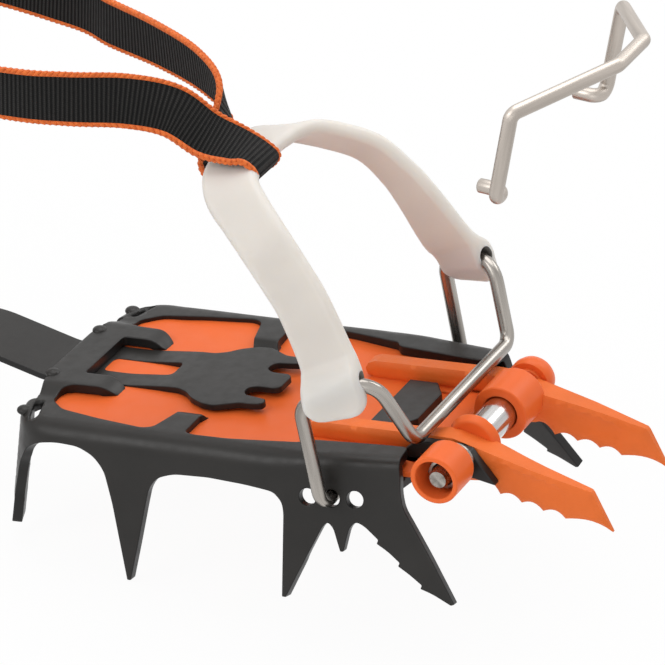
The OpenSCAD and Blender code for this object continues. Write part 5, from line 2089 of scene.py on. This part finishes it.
HEEL_SECTION = (
    Copy("heel_frame", "heel_frame_steel", 0.3, Body.HEEL, Slot.STEEL),
    Copy("bar_guide", "bar_guide_steel", 0.3, Body.HEEL, Slot.STEEL),
    Copy("heel_antisnow_plate", "heel_snow_plate", 0.5, Body.HEEL, Slot.ORANGE),
    Copy("guide_rivets", "guide_rivets_bright", 0.2, Body.HEEL, Slot.BRIGHT),
    Copy("latch_pin", "latch_pin_bright", 0.25, Body.HEEL, Slot.BRIGHT),
    Copy("latch_lever", "latch_lever_moulded", 0.5, Body.LATCH, Slot.ORANGE),
    Copy("latch_spring", "latch_spring_leaf", 0.12, Body.LATCH, Slot.BRIGHT),
    WireBail("heel_bail_wire", "heel_bail_steel", Body.HEEL_BAIL, "bright", 5.0,
             ((-203, 28, 38.6), (-203, 39, 38.6), (-237, 36, 62.6), (-245, 28, 68.6))),
    Copy("heel_lever", "heel_lever_moulded", 0.7, Body.LEVER, Slot.BLACK),
    Copy("adjust_screw", "adjust_screw_bright", 0.3, Body.LEVER, Slot.BRIGHT),
    Copy("strap_slider", "strap_slider_moulded", 0.5, Body.LEVER, Slot.BLACK),
    Copy("adjust_wheel", "adjust_wheel_moulded", 0.35, Body.WHEEL, Slot.ORANGE))
SPARE_BAIL = WireBail(
    "spare_toe_bail", "spare_bail_steel", Body.SPARE, "matt", 2.6,
    ((59.5, 31.5, 147), (67, 31.5, 147), (67, 37, 146.6), (71.3, 37, 173.5), (89.7, 8.6, 179.5)))


@dataclass(frozen=True)
class Span:
    """A stretch of the strap between two bodies, by its places along x."""

    name: str
    ahead: Body
    behind: Body
    front_x: float
    rear_x: float
    start_x: float
    end_x: float


@dataclass
class AnkleStrap:
    """Ribbed webbing with stitched orange edges, from the lever round the band and back."""

    width: float = 15.4
    thick: float = 1.5
    hem: float = 1.3
    hem_thin: float = 0.35
    steps: int = 10
    level: float = 124.6
    blend_z: float = 130.0
    band_mid: Point2 = (-26.08, 123.75)
    lean: float = math.radians(10.5)
    seam_in: float = 0.65
    seam_out: float = 0.45
    stitch: dict[str, float] = field(default_factory=lambda: {
        "Pitch": 1.75 * MM, "Length": 2.7 * MM, "Width": 1.25 * MM, "Height": 1.15 * MM,
        "Slant": math.radians(24)})
    spans: tuple[Span, ...] = (
        Span("strap_toe", Body.TOE_BAIL, Body.FRONT, 100, -90, -42, -84),
        Span("strap_middle", Body.FRONT, Body.HEEL, -90, -116, -95, -112),
        Span("strap_rear", Body.HEEL, Body.HEEL_BAIL, -116, -152, -121, -148),
        Span("strap_lever", Body.HEEL_BAIL, Body.LEVER, -152, -400, -158, -236))

    def at_band(self, along: float, off: float, y: float) -> Point3:
        """Gives a place round the top of the band.

        Args:
            along: Distance forward along the band's top.
            off: Distance above the band's middle.
            y: Place across the crampon.

        Returns:
            The place in the level heel section's frame.
        """
        c, s = math.cos(self.lean), math.sin(self.lean)
        x, z = self.band_mid
        return (x + along * c - off * s, y, z + along * s + off * c)

    def stations(self) -> list[tuple[Point3, Point3]]:
        """Gives the strap's places and the direction of its width there.

        Returns:
            Place and cross direction of each stop along the strap.
        """
        z, up, down, flat, at = self.level, (0, 0, 1), (0, 0, -1), (0, 1, 0), self.at_band
        return [
            ((-214, -23.4, z), up), ((-232, -20.6, z), up), ((-243, -16.8, z), up),
            ((-252, -17.6, z), up), ((-253, -22, z), up), ((-247, -25.4, z), up),
            ((-228, -25.6, z), up), ((-200, -28.4, z + 2), up), ((-150, -30, 138), up),
            ((-92, -27.4, 139.6), (0, 0.1, 1)), ((-72, -24, 140.4), (0, 0.25, 0.97)),
            ((-56, -18, 140.6), (0, 0.45, 0.9)), ((-44, -13, 138), (0, 0.65, 0.76)),
            (at(-7, 9, -9.8), (0, 0.84, 0.54)), (at(1.5, 5.4, -9.2), (0, 0.96, 0.26)),
            (at(6.8, 3.5, -9), flat), (at(10, 0, -9), flat), (at(6.8, -3.5, -8.8), flat),
            (at(0, -3.5, -7), flat), (at(-9, -4.2, -1.6), (0, 1, -0.2)),
            ((-38.5, 6.5, 123), (0, 0.8, -0.6)), ((-42, 14.5, 130), (0, 0.4, -1)),
            ((-54, 23, 132.6), (0, 0.2, -1)), ((-72, 31.5, 133), (0, 0.1, -1)),
            ((-91, 38, 133), down), ((-108, 43.5, 133.6), down), ((-150, 43.5, 135), down),
            ((-196, 34, z + 2), down), ((-228, 26.4, z), down), ((-247, 25.4, z), down),
            ((-253, 22, z), down), ((-252, 17.6, z), down), ((-243, 16.8, z), down),
            ((-232, 20.4, z), down), ((-204, 28.2, z + 1), down), ((-176, 35, z + 3), down)]

    def rings(self) -> list[Ring]:
        """Gives the strap's middle, width and face directions, and its length so far, by ring.

        Returns:
            The rings from the strap's start to its end.
        """
        stops = self.stations()
        path = curve_through([ground(*p) for p, _ in stops], self.steps)
        sides = curve_through([Vector(w) for _, w in stops], self.steps)
        out, walked = [], 0.0
        for i, p in enumerate(path):
            way = heading(path, i)
            w = square_to(sides[i], way)
            walked += (p - path[i - 1]).length if i else 0.0
            out.append((p, w, way.cross(w), walked))
        return out

    def runs(self, span: Span, rings: Sequence[Ring]) -> list[list[int]]:
        """Gives the ring numbers of each run of the strap in a stretch.

        Args:
            span: Stretch of the strap.
            rings: The strap's rings.

        Returns:
            The ring numbers, run by run.
        """
        out: list[list[int]] = []
        for i, (a, b) in enumerate(zip(rings, rings[1:])):
            if span.rear_x <= (a[0].x + b[0].x) / 2 / MM - SHIFT_X < span.front_x:
                if out and out[-1][-1] == i:
                    out[-1].append(i + 1)
                else:
                    out.append([i, i + 1])
        return out

    def build(self, finishes: Finishes) -> None:
        """Builds the webbing and its stitches, a piece for each stretch.

        Args:
            finishes: Every finish of the crampon.
        """
        rings, tree = self.rings(), StitchTree()
        for span in self.spans:
            runs = self.runs(span, rings)
            webbing = self.webbing(runs, rings).mesh_object(span.name, finishes.webbing, sharp=60)
            stitches = self.seams(f"{span.name}_stitches", runs, rings)
            tree.apply(stitches, finishes.webbing[1], **self.stitch)
            start, end = (ground(x, 0, self.blend_z) for x in (span.start_x, span.end_x))
            for obj in (webbing, stitches):
                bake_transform(obj)
            label(webbing, Slot.WEBBING, "ankle_strap")
            label(stitches, Slot.WEBBING)

    def webbing(self, runs: Sequence[Sequence[int]],
                rings: Sequence[Ring]) -> Shape:
        """Builds the webbing of one stretch, with the edge yarn's material along its hems.

        Args:
            runs: Ring numbers of each run in the stretch.
            rings: The strap's rings.

        Returns:
            The webbing's shape, with its length and width as UV places.
        """
        w, t, hem = self.width / 2 * MM, self.thick / 2 * MM, (self.width / 2 - self.hem) * MM
        row = ((-w, self.hem_thin), (-hem, 1.0), (0.0, 1.0), (hem, 1.0), (w, self.hem_thin))
        outline = [(u, t * f) for u, f in row] + [(u, -t * f) for u, f in reversed(row)]
        n = len(outline)
        plain = [j for j in range(n) if max(abs(outline[j][0]), abs(outline[(j + 1) % n][0])) < w]
        shape = Shape()
        for run in runs:
            faces = [(k * n + j, k * n + (j + 1) % n, (k + 1) * n + (j + 1) % n, (k + 1) * n + j)
                     for k in range(len(run) - 1) for j in range(n)]
            slots = [0 if j in plain else 1 for _ in run[1:] for j in range(n)]
            tail = (len(run) - 1) * n
            ends = [tuple(range(n))] if run[0] == 0 else []
            if run[-1] == len(rings) - 1:
                ends.append(tuple(tail + j for j in reversed(range(n))))
            verts = []
            for p, across, face, walked in (rings[i] for i in run):
                verts += [p + across * u + face * v for u, v in outline]
                shape.uvs += [(walked, u) for u, _ in outline]
            shape.add(verts, faces + ends, slots + [0] * len(ends))
        return shape

    def seams(self, name: str, runs: Sequence[Sequence[int]],
              rings: Sequence[Ring]) -> Obj:
        """Makes the lines that the stitches of one stretch follow, on both faces of both hems.

        Args:
            name: Name of the piece.
            runs: Ring numbers of each run in the stretch.
            rings: The strap's rings.

        Returns:
            The carrier, with the direction across the strap on its points.
        """
        verts: list[Vector] = []
        edges: list[tuple[int, int]] = []
        outward: list[float] = []
        reach = (self.width / 2 - self.seam_in) * MM
        for run in runs:
            for edge, face in ((-1, -1), (-1, 1), (1, -1), (1, 1)):
                start = len(verts)
                for p, across, out, _ in (rings[i] for i in run):
                    verts.append(p + across * edge * reach + out * face * self.seam_out * MM)
                    outward.extend(across * edge)
                edges += [(start + k, start + k + 1) for k in range(len(run) - 1)]
        obj = carrier(name, verts, edges)
        layer = obj.data.attributes.new("across", "FLOAT_VECTOR", "POINT")
        layer.data.foreach_set("vector", outward)
        return obj


# ---------------------------------------------------------------------- studio


@dataclass(frozen=True)
class Lamp:
    """A soft lamp aimed at the crampon, by its angles round it from the photograph's axis."""

    name: str
    azimuth: float
    elevation: float
    distance: float
    size: float
    power: float


@dataclass
class Studio:
    """Camera at the photograph's viewing angle, pale floor and plain soft light."""

    azimuth: float = 26.3
    elevation: float = 29.1
    distance: float = 1.542857
    sensor: float = 36.0
    focal_px: float = 5400
    photo_px: float = 665
    near_clip: float = 0.01
    target: Point3 = (0.0783526, 0.0, 0.071)
    lamp_target: Point3 = (0.04, 0, 0.06)
    sky: float = 0.56
    floor_half: float = 6.0
    floor_grey: float = 0.86
    floor_seen: float = 0.95
    lamps: tuple[Lamp, ...] = (
        Lamp("over_lamp", 200, 72, 1.3, 1.1, 7.4), Lamp("side_lamp", -35, 38, 1.4, 0.8, 5.0),
        Lamp("back_lamp", 150, 40, 1.5, 0.7, 3.8), Lamp("low_lamp", 20, 9, 1.6, 1.0, 2.6))

    def build(self) -> None:
        """Sets up the camera, the lamps, the floor and the world."""
        self.camera()
        for lamp in self.lamps:
            self.lamp(lamp)
        self.floor()
        self.world()
        bpy.context.scene.view_settings.view_transform = "Standard"

    @staticmethod
    def way_to(azimuth: float, elevation: float) -> Vector:
        """Gives the direction from the crampon to a place round it, by angles in degrees."""
        az, el = math.radians(azimuth), math.radians(elevation)
        return Vector((math.sin(az) * math.cos(el), -math.cos(az) * math.cos(el), math.sin(el)))

    def camera(self) -> None:
        """Places the camera."""
        az = math.radians(self.azimuth)
        right = Vector((math.cos(az), math.sin(az), 0))
        back = self.way_to(self.azimuth, self.elevation)
        data = bpy.data.cameras.new("photo_camera")
        data.sensor_width = self.sensor
        data.sensor_fit = "HORIZONTAL"
        data.lens = self.focal_px / self.photo_px * self.sensor
        data.clip_start = self.near_clip
        obj = linked("photo_camera", data)
        turn = Matrix((right, back.cross(right), back)).transposed().to_4x4()
        obj.matrix_world = Matrix.Translation(Vector(self.target) + back * self.distance) @ turn
        bpy.context.scene.camera = obj

    def lamp(self, lamp: Lamp) -> None:
        """Places one lamp.

        Args:
            lamp: Lamp to place.
        """
        way = self.way_to(lamp.azimuth, lamp.elevation)
        data = bpy.data.lights.new(lamp.name, "AREA")
        data.shape = "DISK"
        data.size = lamp.size
        data.energy = lamp.power
        obj = linked(lamp.name, data)
        obj.location = Vector(self.lamp_target) + way * lamp.distance
        obj.rotation_euler = way.to_track_quat("Z", "Y").to_euler()

    @staticmethod
    def seen(tree: Tree, share: float) -> Socket:
        """Gives a share for what the camera, reflections and glass see, and 0 for other light.

        Args:
            tree: Tree to add to.
            share: Value for the rays that see it.

        Returns:
            The socket with that value.
        """
        path = tree.nodes.new("ShaderNodeLightPath").outputs
        total = math_node(tree, "ADD", path["Is Camera Ray"], path["Is Glossy Ray"])
        total = math_node(tree, "ADD", total, path["Is Transmission Ray"], True)
        return math_node(tree, "MULTIPLY", total, share)

    def floor(self) -> None:
        """Makes the pale floor, which keeps a faint shadow."""
        h = self.floor_half
        shape = Shape()
        corners = [Vector((x, y, 0)) for x, y in ((-h, -h), (h, -h), (h, h), (-h, h))]
        shape.add(corners, [(0, 1, 2, 3)])
        material = bpy.data.materials.new("pale_floor")
        material.use_nodes = True
        tree = material.node_tree
        tree.nodes.clear()
        out, mix, plain, glow = (tree.nodes.new(f"ShaderNode{kind}") for kind in (
            "OutputMaterial", "MixShader", "BsdfDiffuse", "Emission"))
        plain.inputs["Color"].default_value = (*[self.floor_grey] * 3, 1)
        sources = (self.seen(tree, self.floor_seen), plain.outputs[0], glow.outputs[0])
        for source, socket in zip(sources, mix.inputs):
            tree.links.new(source, socket)
        tree.links.new(mix.outputs[0], out.inputs["Surface"])
        shape.mesh_object("pale_floor", [material], outward=False)

    def world(self) -> None:
        """Lights the room evenly, and shows it white."""
        world = bpy.data.worlds.new("soft_room")
        bpy.context.scene.world = world
        world.use_nodes = True
        tree = world.node_tree
        back = tree.nodes["Background"].inputs
        back["Color"].default_value = (1, 1, 1, 1)
        strength = math_node(tree, "ADD", self.seen(tree, 1 - self.sky), self.sky)
        tree.links.new(strength, back["Strength"])


def main() -> None:
    """Builds the studio and the crampon's pieces in order."""
    logging.basicConfig(level=logging.INFO, format="%(name)s: %(message)s")
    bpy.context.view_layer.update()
    Studio().build()
    finishes = Finishes()
    for part in (FrontFrame(), FrontPoints(), AxleSet(), FrontPlate(), LinkingBar(), ToeBail(),
                 *HEEL_SECTION, SPARE_BAIL, AnkleStrap()):
        LOG.info("building %s", type(part).__name__)
        part.build(finishes)


if __name__ == "__main__":
    main()
